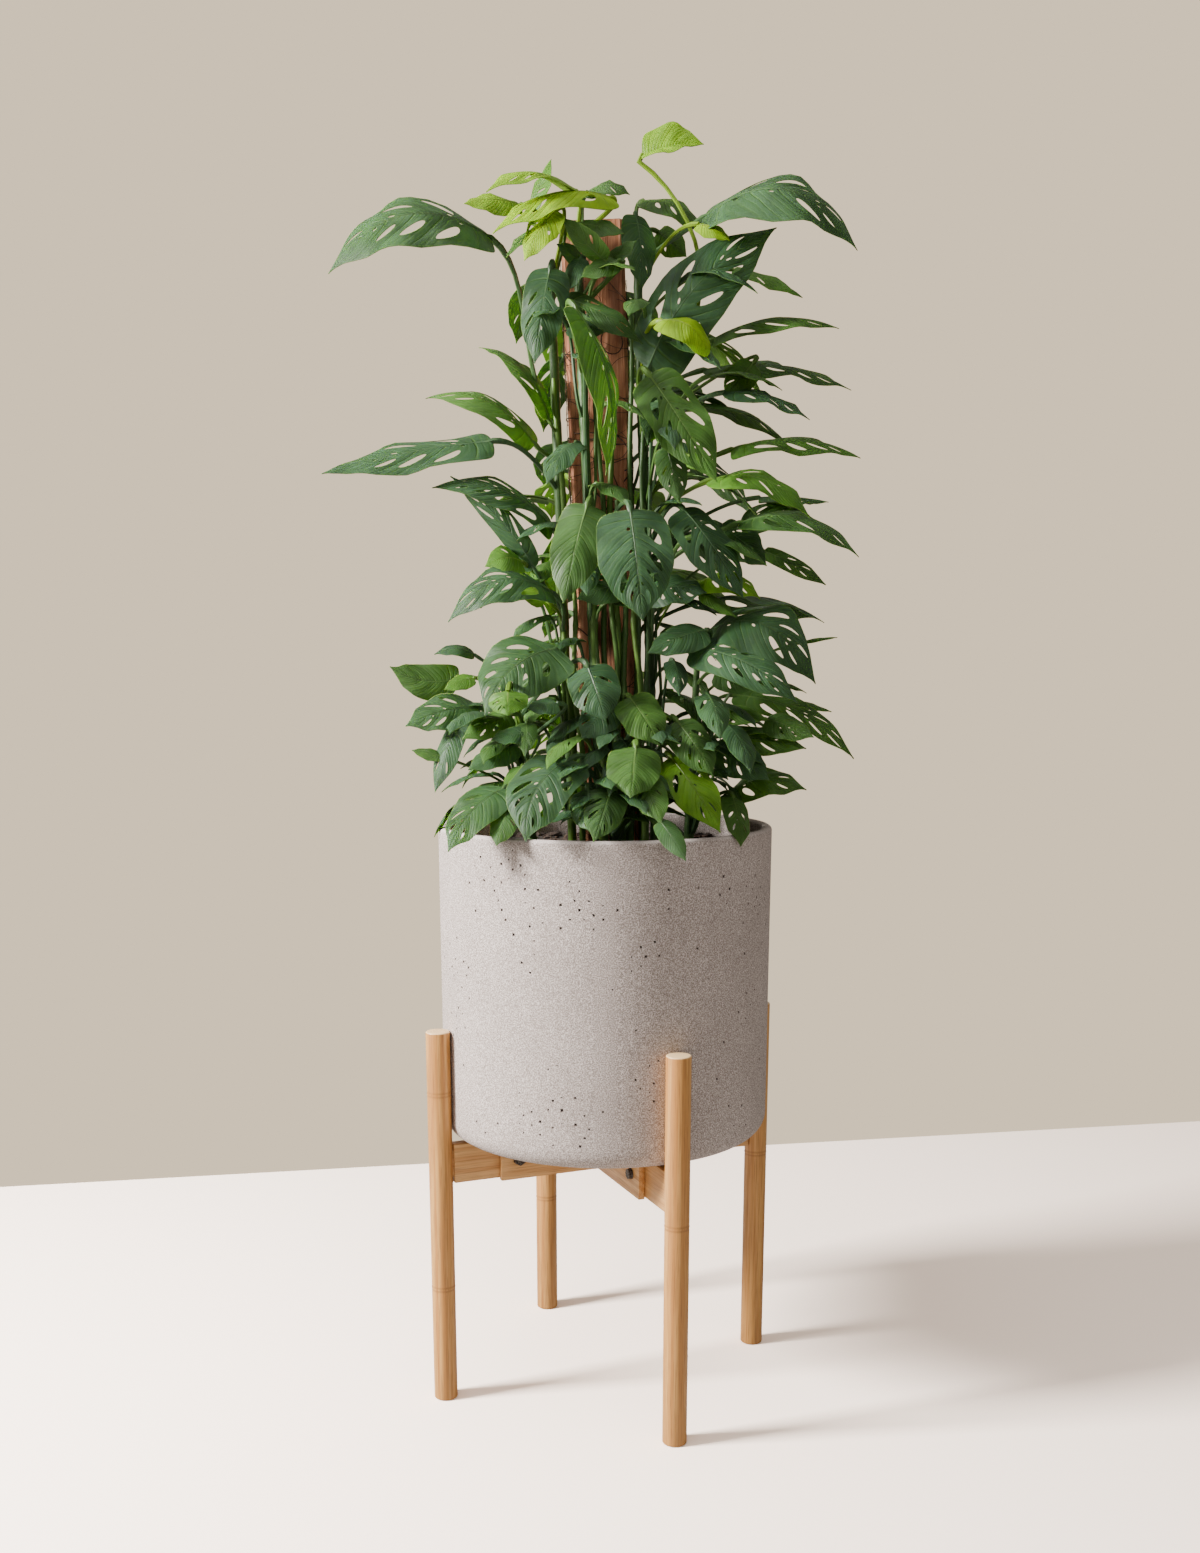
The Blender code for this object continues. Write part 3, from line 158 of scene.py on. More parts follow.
LEAVES: dict[str, tuple[Leaf, ...]] = {
    "vine_left": (
        Leaf((-9.5, -4, 102.5), (-22.5, -7, 99), 6.8, (265, 44), 0.25, LARGE, DARK, joint=88),
        Leaf((-4, -5, 103.5), (-8, -8, 100), 3, (230, 70), 0.1, MEDIUM, MID),
        Leaf((-4, -8, 103.5), (-6.5, -9, 99.5), 2.8, (250, 20), 0.1, SMALL, LIME),
        Leaf((-4.5, -7, 99.5), (-5.8, -8, 92), 3.8, (262, 15), 0.06, MEDIUM, DARK),
        Leaf((-9.5, -5, 86.5), (-23.5, -8, 83.5), 4.8, (265, 52), 0.03, LARGE, DARK),
        Leaf((-6, -3, 86.5), (-15.5, -1, 90.5), 3.4, (275, 55), 0.2, LARGE, MID),
        Leaf((-4.8, -3, 88.5), (-11, 1, 95), 2.6, (310, 50), 0.16, MEDIUM, MID),
        Leaf((-4.5, -4, 79.5), (-14.5, -7, 82.5), 4.4, (270, 52), 0.18, LARGE, DARK),
        Leaf((-6, -7.5, 76), (-13, -6.5, 83.5), 2.2, (250, 25), 0.05, MEDIUM, DARK, bend=0.06),
        Leaf((-7, -8, 76.5), (-10, -9.5, 76), 3.2, (265, 35), 0.22, SMALL, FRESH),
        Leaf((-4.5, -8, 74), (-13, -11, 71.5), 4.4, (265, 45), 0.3, LARGE, DARK),
        Leaf((-5, -5, 73.5), (-8, -5, 76), 2.4, (250, 20), 0.06, TINY, FRESH),
    ),
    "vine_front": (
        Leaf((-2.5, -4, 106), (-9.5, -9, 104.5), 4.2, (265, 65), 0.16, MEDIUM, LIME),
        Leaf((0.5, -4, 105.5), (-9, -9, 101.5), 4.6, (265, 60), 0.14, LARGE, LIME),
        Leaf((-6.5, -2, 105), (-4.5, -2, 109), 2.8, (215, 15), 0.05, SMALL, FRESH),
        Leaf((-7, -4, 105), (-11.5, -6, 104.5), 3.4, (265, 45), 0.08, SMALL, LIME),
        Leaf((-1.5, -2, 106.5), (2, -3, 106), 2.8, (275, 50), 0.2, SMALL, MID),
        Leaf((-2, -5, 100.5), (-4, -6, 101.5), 1.8, (265, 30), 0.05, TINY, DARK),
        Leaf((-2, -6, 100.5), (-3.5, -7, 97.5), 2, (240, 10), 0.05, TINY, DARK),
        Leaf((0, -7, 100), (-3.5, -8, 103), 2.2, (210, 20), 0.05, SMALL, MID),
        Leaf((-2, -6, 103), (1.5, -7, 102), 2.2, (275, 40), 0.05, TINY, MID),
        Leaf((0, -6, 100), (2.5, -7, 101.5), 2, (275, 40), 0.05, TINY, MID),
        Leaf((1, -7, 100), (-2, -8, 98.5), 2.4, (265, 40), 0.05, TINY, MID),
        Leaf((-3.5, -6, 97.5), (3, -8, 93.5), 2.6, (275, 35), 0.08, MEDIUM, MID),
        Leaf((-3, -4, 96), (0, -5, 95), 3, (270, 30), 0.08, SMALL, DARK),
        Leaf((-2.5, -9.5, 96), (0, -11, 83), 4.2, (325, 8), 0.14, LARGE, MID),
        Leaf((-1.5, -9, 81), (-3.5, -11, 73), 4.4, (265, 15), 0.08, SOLID, MID),
        Leaf((2, -10, 80.5), (3, -13, 71.5), 6.4, (272, 20), 0.08, LARGE, DARK),
        Leaf((2, -6, 75), (-2.5, -7, 73.5), 3, (270, 30), 0.08, SMALL, DARK),
    ),
    "vine_right": (
        Leaf((3, -3, 109), (8, -4, 109.5), 3.4, (272, 35), 0.08, SOLID, LIME, 0, 92, 8.5, -0.4),
        Leaf((8, -4, 104), (20.5, -6, 101), 6.8, (272, 48), 0.28, LARGE, DARK),
        Leaf((3.5, -6, 92), (14, -5, 103), 6.2, (275, 28), 0.06, LARGE, DARK, bend=-0.09),
        Leaf((11, 2, 101.5), (17, 1, 99), 2.4, (275, 55), 0.06, SMALL, FRESH),
        Leaf((3.2, 0.5, 106.5), (8, -1, 103.5), 4, (275, 60), 0.18, MEDIUM, MID),
        Leaf((7.5, -6, 103), (10, -7, 101.5), 2.2, (275, 50), 0.1, TINY, LIME),
        Leaf((2.5, -3, 104.5), (3, -4, 98.5), 3.2, (300, 10), 0.06, MEDIUM, DARK),
        Leaf((4.5, 2, 104.5), (7, 2, 102.5), 3, (275, 30), 0.06, SMALL, MID),
        Leaf((4.5, -7, 95.5), (8.5, -8, 92), 3.6, (290, 45), 0.26, SOLID, LIME),
        Leaf((3.5, -9, 91), (9, -11, 82.5), 4.8, (272, 15), 0.06, LARGE, MID),
        Leaf((4.5, -4, 90.5), (3.5, -6, 86), 2.6, (290, 10), 0.05, SMALL, DARK),
        Leaf((5, -5.5, 88.5), (5.5, -6.5, 85), 2.4, (285, 10), 0.05, TINY, MID),
        Leaf((5, -9, 85.5), (6, -10, 81), 2.6, (275, 15), 0.06, SMALL, MID),
        Leaf((7, -7, 85), (8.5, -8, 84), 1.8, (275, 20), 0.06, TINY, FRESH),
        Leaf((9, -2, 95), (19.5, -4, 95.5), 3.4, (275, 62), 0.12, LARGE, MID),
        Leaf((8.5, 0, 93), (21, -2, 91), 5, (275, 68), 0.09, LARGE, MID),
        Leaf((12.5, -3, 93), (10, -4, 90), 2.6, (275, 15), 0.05, SMALL, MID),
        Leaf((10, -4, 90.5), (17, -6, 88), 3.4, (275, 68), 0.1, MEDIUM, DARK),
        Leaf((11, 0, 86.5), (22, -2, 85.5), 4.6, (275, 66), 0.11, LARGE, MID),
        Leaf((9, -4, 83.5), (17, -8, 80), 4, (275, 60), 0.18, MEDIUM, FRESH),
        Leaf((13.5, 0, 82.5), (19.5, -1, 82), 3.6, (275, 80), 0.04, MEDIUM, DARK),
        Leaf((12, 1, 80.5), (18, 0, 81), 3.6, (275, 45), 0.12, MEDIUM, MID),
        Leaf((11.5, -4, 80), (21.5, -6, 77), 4.4, (275, 65), 0.18, LARGE, MID),
        Leaf((6.5, -6, 81), (11.5, -9, 73.5), 4.6, (290, 25), 0.06, LARGE, DARK),
        Leaf((10, -2, 80), (14, -3, 76.5), 4, (280, 35), 0.06, MEDIUM, DARK),
        Leaf((14, 0, 78), (19.5, -1, 75), 1.8, (275, 30), 0.06, SMALL, MID),
        Leaf((8, -6, 75), (13, -8, 73.5), 3.2, (275, 50), 0.22, MEDIUM, FRESH),
        Leaf((3.5, -6, 74.5), (8.5, -8, 74), 4, (275, 45), 0.08, MEDIUM, DARK),
        Leaf((8, -7, 74), (11, -8, 72), 1.3, (275, 40), 0.05, TINY, FRESH),
    ),
    "vine_low_left": (
        Leaf((-4, -9, 69.5), (-10, -12, 64), 6.6, (262, 32), 0.08, LARGE, DARK, bend=0.13),
        Leaf((-1.5, -10, 68), (0, -12, 63.5), 4.4, (270, 25), 0.1, MEDIUM, DARK),
        Leaf((-4, -6, 69.5), (-6, -7, 67), 2.6, (260, 30), 0.08, SMALL, MID),
        Leaf((-13, -2, 67), (-19, -3, 68), 3.4, (262, 22), 0.04, SOLID, MID, bend=-0.14),
        Leaf((-11, -6, 64.5), (-17, -9, 63), 4.4, (262, 40), 0.1, MEDIUM, DARK),
        Leaf((-11.5, -4, 67), (-14, -5, 66), 1.8, (262, 40), 0.08, TINY, FRESH),
        Leaf((-11.5, -3, 69), (-15, -3.5, 69), 1.6, (262, 50), 0.2, TINY, DARK),
        Leaf((-8, -13, 66), (-8, -14, 64), 3.4, (262, 30), 0.08, SMALL, FRESH),
        Leaf((-4, -12, 65), (-6.5, -13, 64.5), 2.2, (262, 50), 0.08, TINY, DARK),
        Leaf((-8, -9, 64), (-12, -11, 62), 2.8, (262, 40), 0.08, SMALL, MID),
        Leaf((-12.5, -8, 63.5), (-14.5, -10, 57.5), 2.6, (240, 15), 0.06, SMALL, DARK),
        Leaf((-14, -9, 60.5), (-16.5, -9, 61), 1.4, (262, 50), 0.05, TINY, MID),
        Leaf((-7.5, -10, 61.5), (-11.5, -12, 59.5), 2.8, (262, 45), 0.08, SMALL, DARK),
        Leaf((-6.5, -12, 62.5), (-9.5, -13, 62), 2.2, (262, 50), 0.08, TINY, DARK),
        Leaf((-8.5, -11, 58), (-13, -15, 53), 4.2, (250, 35), 0.08, MEDIUM, DARK, bend=0.06),
        Leaf((-8, -12, 56.5), (-9, -15, 53.5), 2.6, (255, 25), 0.06, SMALL, MID),
    ),
    "vine_low_front": (
        Leaf((-3, -13, 60.5), (-6.5, -16.5, 54), 5.6, (258, 28), 0.08, LARGE, DARK, bend=0.13),
        Leaf((-1.5, -13, 58), (-1, -16, 54.5), 3.4, (270, 25), 0.08, MEDIUM, DARK),
        Leaf((0.5, -13, 58), (-1, -16.5, 54), 3.4, (275, 25), 0.08, MEDIUM, MID),
        Leaf((2.5, -13, 61.5), (2, -16, 57.5), 4.6, (270, 25), 0.06, SOLID, MID),
        Leaf((3, -13, 59), (4.5, -16.5, 55.5), 3, (275, 25), 0.06, SMALL, MID),
        Leaf((4.5, -14.5, 55.5), (6.5, -17, 52.5), 2, (280, 25), 0.06, TINY, DARK),
        Leaf((2, -10, 65.5), (4.5, -12, 61.5), 4, (275, 35), 0.08, MEDIUM, MID),
        Leaf((0.5, -10, 65), (-2, -12, 62), 3.4, (268, 35), 0.08, SMALL, DARK),
        Leaf((2.5, -9, 61), (4.5, -10, 60), 2.4, (275, 40), 0.08, TINY, DARK),
    ),
    "vine_low_right": (
        Leaf((9, -3, 71), (18, -7, 66.5), 7, (278, 42), 0.34, LARGE, DARK),
        Leaf((17, -1, 70), (20.5, -2, 70.5), 1, (270, 70), 0.03, TINY, MID),
        Leaf((7.5, -7, 69.5), (16, -11, 65), 4.6, (278, 40), 0.14, LARGE, DARK),
        Leaf((8.5, -7, 71), (3.5, -9, 69), 3.4, (270, 45), 0.08, MEDIUM, DARK),
        Leaf((9.5, -5.5, 67.5), (13, -6.5, 66), 2.8, (280, 35), 0.06, SMALL, MID),
        Leaf((11.5, -1, 65.5), (22, -4, 60), 2.8, (285, 25), 0.06, LARGE, MID, bend=-0.1),
        Leaf((16.5, 0, 65), (20.5, 0, 64), 1.2, (270, 60), 0.03, TINY, MID),
        Leaf((9, -5, 64), (14, -7, 63.5), 2.6, (278, 45), 0.06, SMALL, MID),
        Leaf((14, -5, 63.5), (18, -7, 62), 2.8, (278, 35), 0.06, SMALL, MID),
        Leaf((10.5, -3, 62), (17.5, -6, 61), 3.2, (278, 35), 0.06, MEDIUM, MID),
        Leaf((9.5, -6, 61.5), (14, -9, 58.5), 4, (278, 35), 0.06, MEDIUM, DARK),
        Leaf((11, -4, 57), (17.5, -7, 57.5), 3.8, (278, 45), 0.22, MEDIUM, MID),
        Leaf((6, -10, 63.5), (9, -12, 59), 3.6, (278, 28), 0.08, MEDIUM, MID),
        Leaf((5.5, -10, 60.5), (9.5, -14, 54.5), 4, (278, 25), 0.08, MEDIUM, FRESH),
        Leaf((11, -8, 57), (11.5, -11, 53), 2.8, (300, 18), 0.06, SMALL, MID),
        Leaf((6.5, -9, 58.5), (9.5, -11, 55), 3.6, (278, 30), 0.06, MEDIUM, DARK),
    ),
}

STEMS: dict[str, Stem] = {
    "vine_left": Stem((-3.0, -1.2), (-4.6, -1.0, 99)),
    "vine_front": Stem((-0.4, -2.4), (-2.4, -2.4, 103)),
    "vine_right": Stem((4.6, -1.0), (2.6, -1.2, 103)),
    "vine_back_left": Stem((-0.6, 3.4), (-2.8, 3.4, 103)),
    "vine_back_right": Stem((2.6, 3.4), (0.4, 3.4, 104)),
    "vine_low_left": Stem((-6.5, -5.0), (-7.5, -5.5, 66)),
    "vine_low_front": Stem((1.0, -7.5), (1.0, -8.0, 63)),
    "vine_low_right": Stem((7.5, -3.5), (8.0, -4.0, 68)),
    "vine_low_back": Stem((0.5, 6.0), (0.5, 7.0, 66)),
}
BARE_STEMS: dict[str, tuple[Stem, ...]] = {
    "vine_left": (
        Stem((-2.6, -2.2), (-4.2, -1.8, 92)),
        Stem((-1.6, -2.9), (-3.2, -2.8, 80)),
    ),
    "vine_front": (
        Stem((0.9, -2.2), (-0.9, -2.2, 96)),
        Stem((1.8, -2.6), (0.2, -2.3, 90)),
        Stem((0.3, -3.1), (-1.4, -3.0, 84)),
        Stem((1.4, -3.4), (0.6, -3.1, 76)),
    ),
    "vine_right": (
        Stem((3.4, -1.9), (1.9, -2.0, 98)),
        Stem((2.6, -2.9), (1.2, -2.8, 82)),
        Stem((4.4, -2.4), (3.2, -2.2, 88)),
        Stem((3.6, -3.3), (2.6, -3.2, 74)),
    ),
}
BACK_RULES: dict[str, LeafRule] = {
    "vine_back_left": LeafRule(9, (80, 125), (73, 104), (3.0, 5.5), (7.5, 10.5), 11),
    "vine_back_right": LeafRule(9, (0, 84), (72, 103), (3.5, 7.0), (8.0, 12.0), 23),
    "vine_low_back": LeafRule(8, (10, 170), (58, 68), (2.5, 5.0), (7.0, 10.0), 5),
}
SHADY = (DARK, MID, DARK, MID, DARK)
STEEP = (5.0, 12.0)
INNER_SPANS = {
    "vine_left": (7, (205, 268), (62, 78), (1.8, 4.0), (4.0, 6.5), 101),
    "vine_front": (12, (222, 318), (62, 101), (1.8, 4.0), (3.5, 6.5), 102),
    "vine_right": (15, (268, 352), (62, 101), (2.0, 6.5), (4.0, 8.0), 103),
    "vine_back_left": (9, (95, 165), (62, 84), (2.0, 4.5), (4.5, 7.0), 104),
    "vine_back_right": (9, (-30, 80), (62, 98), (2.0, 7.0), (4.5, 8.0), 105),
    "vine_low_left": (12, (160, 285), (57, 66), (1.5, 5.5), (3.5, 6.5), 106),
    "vine_low_front": (26, (185, 355), (55, 63), (1.2, 4.5), (3.5, 5.5), 107),
    "vine_low_right": (12, (255, 385), (57, 67), (1.5, 5.5), (3.5, 6.5), 108),
    "vine_low_back": (20, (-10, 190), (54, 65), (1.5, 7.0), (4.0, 6.5), 109),
}
INNER_RULES = {name: LeafRule(*spans, SHADY, STEEP) for name, spans in INNER_SPANS.items()}


def direction(azimuth: float, elevation: float) -> Vector:
    """Turn two angles into a unit vector.

    Args:
        azimuth: Degrees from +X, counted towards +Y.
        elevation: Degrees above the floor.

    Returns:
        The unit vector.
    """
    flat = math.cos(math.radians(elevation))
    turn = math.radians(azimuth)
    return Vector((flat * math.cos(turn), flat * math.sin(turn), math.sin(math.radians(elevation))))


def select_only(thing: Thing) -> None:
    """Select one object, make it active and leave every other alone.

    Args:
        thing: The object to select.
    """
    bpy.ops.object.select_all(action="DESELECT")
    thing.select_set(True)
    bpy.context.view_layer.objects.active = thing


def apply_all(thing: Thing) -> None:
    """Apply an object's modifiers in their order.

    Args:
        thing: The object whose modifiers are applied.
    """
    select_only(thing)
    for modifier in list(thing.modifiers):
        bpy.ops.object.modifier_apply(modifier=modifier.name)


def settle(thing: Thing) -> None:
    """Move an object's place, turn and scale into its mesh."""
    select_only(thing)
    bpy.ops.object.transform_apply(location=True, rotation=True, scale=True)


def start_edit(thing: Thing, elements: str) -> None:
    """Open an object in edit mode with nothing selected.

    Args:
        thing: The object to edit.
        elements: VERT, EDGE or FACE, which is what selections then mean.
    """
    select_only(thing)
    bpy.ops.object.mode_set(mode="EDIT")
    bpy.ops.mesh.select_mode(type=elements)
    bpy.ops.mesh.select_all(action="DESELECT")


def end_edit() -> None:
    """Go back to object mode."""
    bpy.ops.object.mode_set(mode="OBJECT")


def pick(thing: Thing, elements: str, test: Callable[[bmesh.types.BMFace | bmesh.types.BMEdge], bool]) -> None:
    """Select the faces or the edges that pass a test, in edit mode.

    Args:
        thing: The object in edit mode.
        elements: faces or edges.
        test: Says whether one of them is wanted.
    """
    bpy.ops.mesh.select_all(action="DESELECT")
    mesh = bmesh.from_edit_mesh(thing.data)
    for element in getattr(mesh, elements):
        if test(element):
            element.select_set(True)
    bmesh.update_edit_mesh(thing.data)


def move_picked(thing: Thing, move: Callable[[Vector], Vector]) -> None:
    """Move the selected points, in edit mode.

    Args:
        thing: The object in edit mode.
        move: Turns a point's old place into its new one.
    """
    mesh = bmesh.from_edit_mesh(thing.data)
    for vert in (v for v in mesh.verts if v.select):
        vert.co = move(vert.co)
    bmesh.update_edit_mesh(thing.data)


def clean(thing: Thing, turn_out: bool) -> None:
    """Merge an object's doubled points.

    Args:
        thing: The object to clean.
        turn_out: Whether its faces are then turned outwards.
    """
    start_edit(thing, "VERT")
    bpy.ops.mesh.select_all(action="SELECT")
    bpy.ops.mesh.remove_doubles(threshold=MERGE)
    if turn_out:
        bpy.ops.mesh.normals_make_consistent(inside=False)
    end_edit()


def add_object(name: str, data: bpy.types.ID) -> Thing:
    """Put a new object in the scene.

    Args:
        name: Its name.
        data: Its mesh, curve, camera or light.

    Returns:
        The object.
    """
    made = bpy.data.objects.new(name, data)
    bpy.context.scene.collection.objects.link(made)
    return made


def start_wires(name: str, rough: int) -> bpy.types.Curve:
    """Start a curve whose points' radii are its thickness.

    Args:
        name: Its name.
        rough: How finely it is rounded.

    Returns:
        The curve, with no wire in it yet.
    """
    data = bpy.data.curves.new(name, "CURVE")
    data.dimensions = "3D"
    data.bevel_depth = 1.0
    data.bevel_resolution = rough
    data.use_fill_caps = True
    return data


def add_wire(data: bpy.types.Curve, points: list[Vector], radii: list[float]) -> None:
    """Add a wire to a curve.

    Args:
        data: The curve.
        points: The points of the wire's centre line.
        radii: Its radius at each of them.
    """
    spline = data.splines.new("POLY")
    spline.points.add(len(points) - 1)
    for knot, place, radius in zip(spline.points, points, radii):
        knot.co = (*place, 1.0)
        knot.radius = radius


def end_wires(data: bpy.types.Curve) -> Thing:
    """Turn a curve into a mesh object.

    Args:
        data: The curve.

    Returns:
        The object.
    """
    select_only(add_object(data.name, data))
    bpy.ops.object.convert(target="MESH")
    return bpy.context.object


def smooth(thing: Thing, degrees: float) -> None:
    """Shade an object smooth, but sharp along the edges that turn by more than some degrees."""
    select_only(thing)
    bpy.ops.object.shade_smooth_by_angle(angle=math.radians(degrees))


def mark(thing: Thing, name: str, value: float) -> None:
    """Write one number on all of an object's points, under a name."""
    layer = thing.data.attributes.new(name, "FLOAT", "POINT")
    layer.data.foreach_set("value", np.full(len(thing.data.vertices), value, np.float32))


def dress(thing: Thing, *finishes: Material) -> None:
    """Give an object its materials, in slot order.

    Args:
        thing: The object to dress.
        finishes: One material for each slot.
    """
    thing.data.materials.clear()
    for finish in finishes:
        thing.data.materials.append(finish)


def hand_over(thing: Thing, name: str, slot: str, *nodes: str) -> None:
    """Name a finished piece, hang it on the root body and hide the solids that it replaces.

    Args:
        thing: The finished piece.
        name: Its name.
        slot: Not used.
        nodes: The solids that it replaces.
    """
    thing.name = name
    thing.data.name = name
    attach(thing, "root")
    if nodes:
        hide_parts(*nodes)
    LOG.info("%s: %d faces", name, len(thing.data.polygons))


def join(things: list[Thing]) -> Thing:
    """Join objects into the first of them.

    Args:
        things: The objects, of which the first is kept.

    Returns:
        The joined object.
    """
    select_only(things[0])
    for thing in things[1:]:
        thing.select_set(True)
    bpy.ops.object.join()
    return things[0]


class Sketch:
    """A material's nodes, added and joined by short calls."""

    def __init__(self, name: str) -> None:
        """Start a Principled material.

        Args:
            name: The material's name.
        """
        self.material = bpy.data.materials.new(name)
        self.material.use_nodes = True
        self.tree = self.material.node_tree
        self.shader = self.tree.nodes["Principled BSDF"]

    def node(self, kind: str, inputs: dict[int | str, Value], **settings: object) -> bpy.types.Node:
        """Add a node, set it up and feed its inputs.

        Args:
            kind: The node's type, without the ShaderNode that it starts with.
            inputs: A number, colour or socket for each input that isn't left as it is.
            settings: The node's own settings.

        Returns:
            The node.
        """
        made = self.tree.nodes.new(f"ShaderNode{kind}")
        for key, value in settings.items():
            setattr(made, key, value)
        for key, value in inputs.items():
            self.feed(made.inputs[key], value)
        return made

    def feed(self, socket: Socket, value: Value) -> None:
        """Join a socket to another, or set its value.

        Args:
            socket: The input to feed.
            value: A socket to join, or a number or colour to set.
        """
        if isinstance(value, Socket):
            self.tree.links.new(value, socket)
        elif isinstance(value, tuple) and len(value) == 3 and socket.type == "RGBA":
            socket.default_value = (*value, 1.0)
        else:
            socket.default_value = value

    def place(self, scale: Place = (1.0, 1.0, 1.0), turn: float = 0.0) -> Socket:
        """Return the object's own coordinates, turned about Z and then stretched.

        Args:
            scale: The stretch along X, Y and Z.
            turn: The turn in radians that brings the piece's length to X.

        Returns:
            The coordinates.
        """
        raw = self.node("TexCoord", {}).outputs["Object"]
        turned = self.node("Mapping", {0: raw, 2: (0.0, 0.0, -turn)}).outputs[0]
        return self.node("Mapping", {0: turned, 3: scale}).outputs[0]

    def parts(self, where: Value) -> list[Socket]:
        """Return the X, Y and Z of coordinates."""
        return list(self.node("SeparateXYZ", {0: where}).outputs)

    def marked(self, name: str) -> Socket:
        """Return a number that is written on the piece's points."""
        return self.node("Attribute", {}, attribute_name=name).outputs["Fac"]

    def fix(self, values: dict[str, float | Colour]) -> None:
        """Set sockets of the shader to what they are all over the surface."""
        for name, value in values.items():
            self.shader.inputs[name].default_value = value

    def math(self, operation: str, first: Value, second: Value = 0.5) -> Socket:
        """Return the result of one of the Math node's operations on one or two numbers."""
        return self.node("Math", {0: first, 1: second}, operation=operation).outputs[0]

    def span(self, value: Value, low: float, high: float, start: float = 0.0, end: float = 1.0) -> Socket:
        """Ease a number from the span of low and high into that of start and end, held at its ends."""
        inputs = {0: value, 1: low, 2: high, 3: start, 4: end}
        return self.node("MapRange", inputs, interpolation_type="SMOOTHSTEP").outputs[0]

    def noise(self, where: Value, scale: float, detail: float = 3.0, warp: float = 0.0) -> Socket:
        """Return a cloudy pattern from 0 to 1, with scale waves to a metre and detail finer ones on them."""
        inputs = {"Vector": where, "Scale": scale, "Detail": detail, "Distortion": warp}
        return self.node("TexNoise", inputs).outputs[0]

    def cells(self, where: Value, scale: float, feature: str = "F1") -> Socket:
        """Return the distances in a pattern of cells, with scale of them to a metre."""
        inputs = {"Vector": where, "Scale": scale}
        return self.node("TexVoronoi", inputs, feature=feature).outputs["Distance"]

    def mix(self, share: Value, first: Value, second: Value, blend: str = "MIX") -> Socket:
        """Blend two colours.

        Args:
            share: How much of the second is taken.
            first: The first colour.
            second: The second colour.
            blend: The way they are blended.

        Returns:
            The blended colour.
        """
        made = self.node("Mix", {0: share}, data_type="RGBA", blend_type=blend)
        self.feed(made.inputs[6], first)
        self.feed(made.inputs[7], second)
        return made.outputs[2]

    def ramp(self, value: Value, stops: tuple[tuple[float, Colour], ...]) -> Socket:
        """Colour a number by stops.

        Args:
            value: The number.
            stops: Each stop's place and colour, in order.

        Returns:
            The colour.
        """
        made = self.node("ValToRGB", {0: value})
        elements = made.color_ramp.elements
        while len(elements) < len(stops):
            elements.new(1.0)
        for element, (place, colour) in zip(elements, stops):
            element.position = place
            element.color = (*colour, 1.0)
        return made.outputs[0]

    def finish(
        self, colour: Value, roughness: Value, height: Value | None = None, depth: float = 0.0
    ) -> Material:
        """Feed the shader and return the material.

        Args:
            colour: The base colour.
            roughness: The roughness.
            height: The pattern that is raised, if any.
            depth: How far it is raised, in metres.

        Returns:
            The material.
        """
        self.feed(self.shader.inputs["Base Color"], colour)
        self.feed(self.shader.inputs["Roughness"], roughness)
        if height is not None:
            bump = self.node("Bump", {"Height": height, "Distance": depth})
            self.feed(self.shader.inputs["Normal"], bump.outputs[0])
        return self.material


@dataclass(frozen=True)
class Greens:
    """Greens by age, which follow the tone that is written on a leaf or a stalk."""

    old: Colour
    grown: Colour
    fresh: Colour
    young: Colour

    def by_tone(self, draw: Sketch) -> Socket:
        """Return the green of each point, with the four greens at the four named tones."""
        greens = zip(Tone, (self.old, self.grown, self.fresh, self.young))
        return draw.ramp(draw.marked("tone"), tuple((tone.value, green) for tone, green in greens))


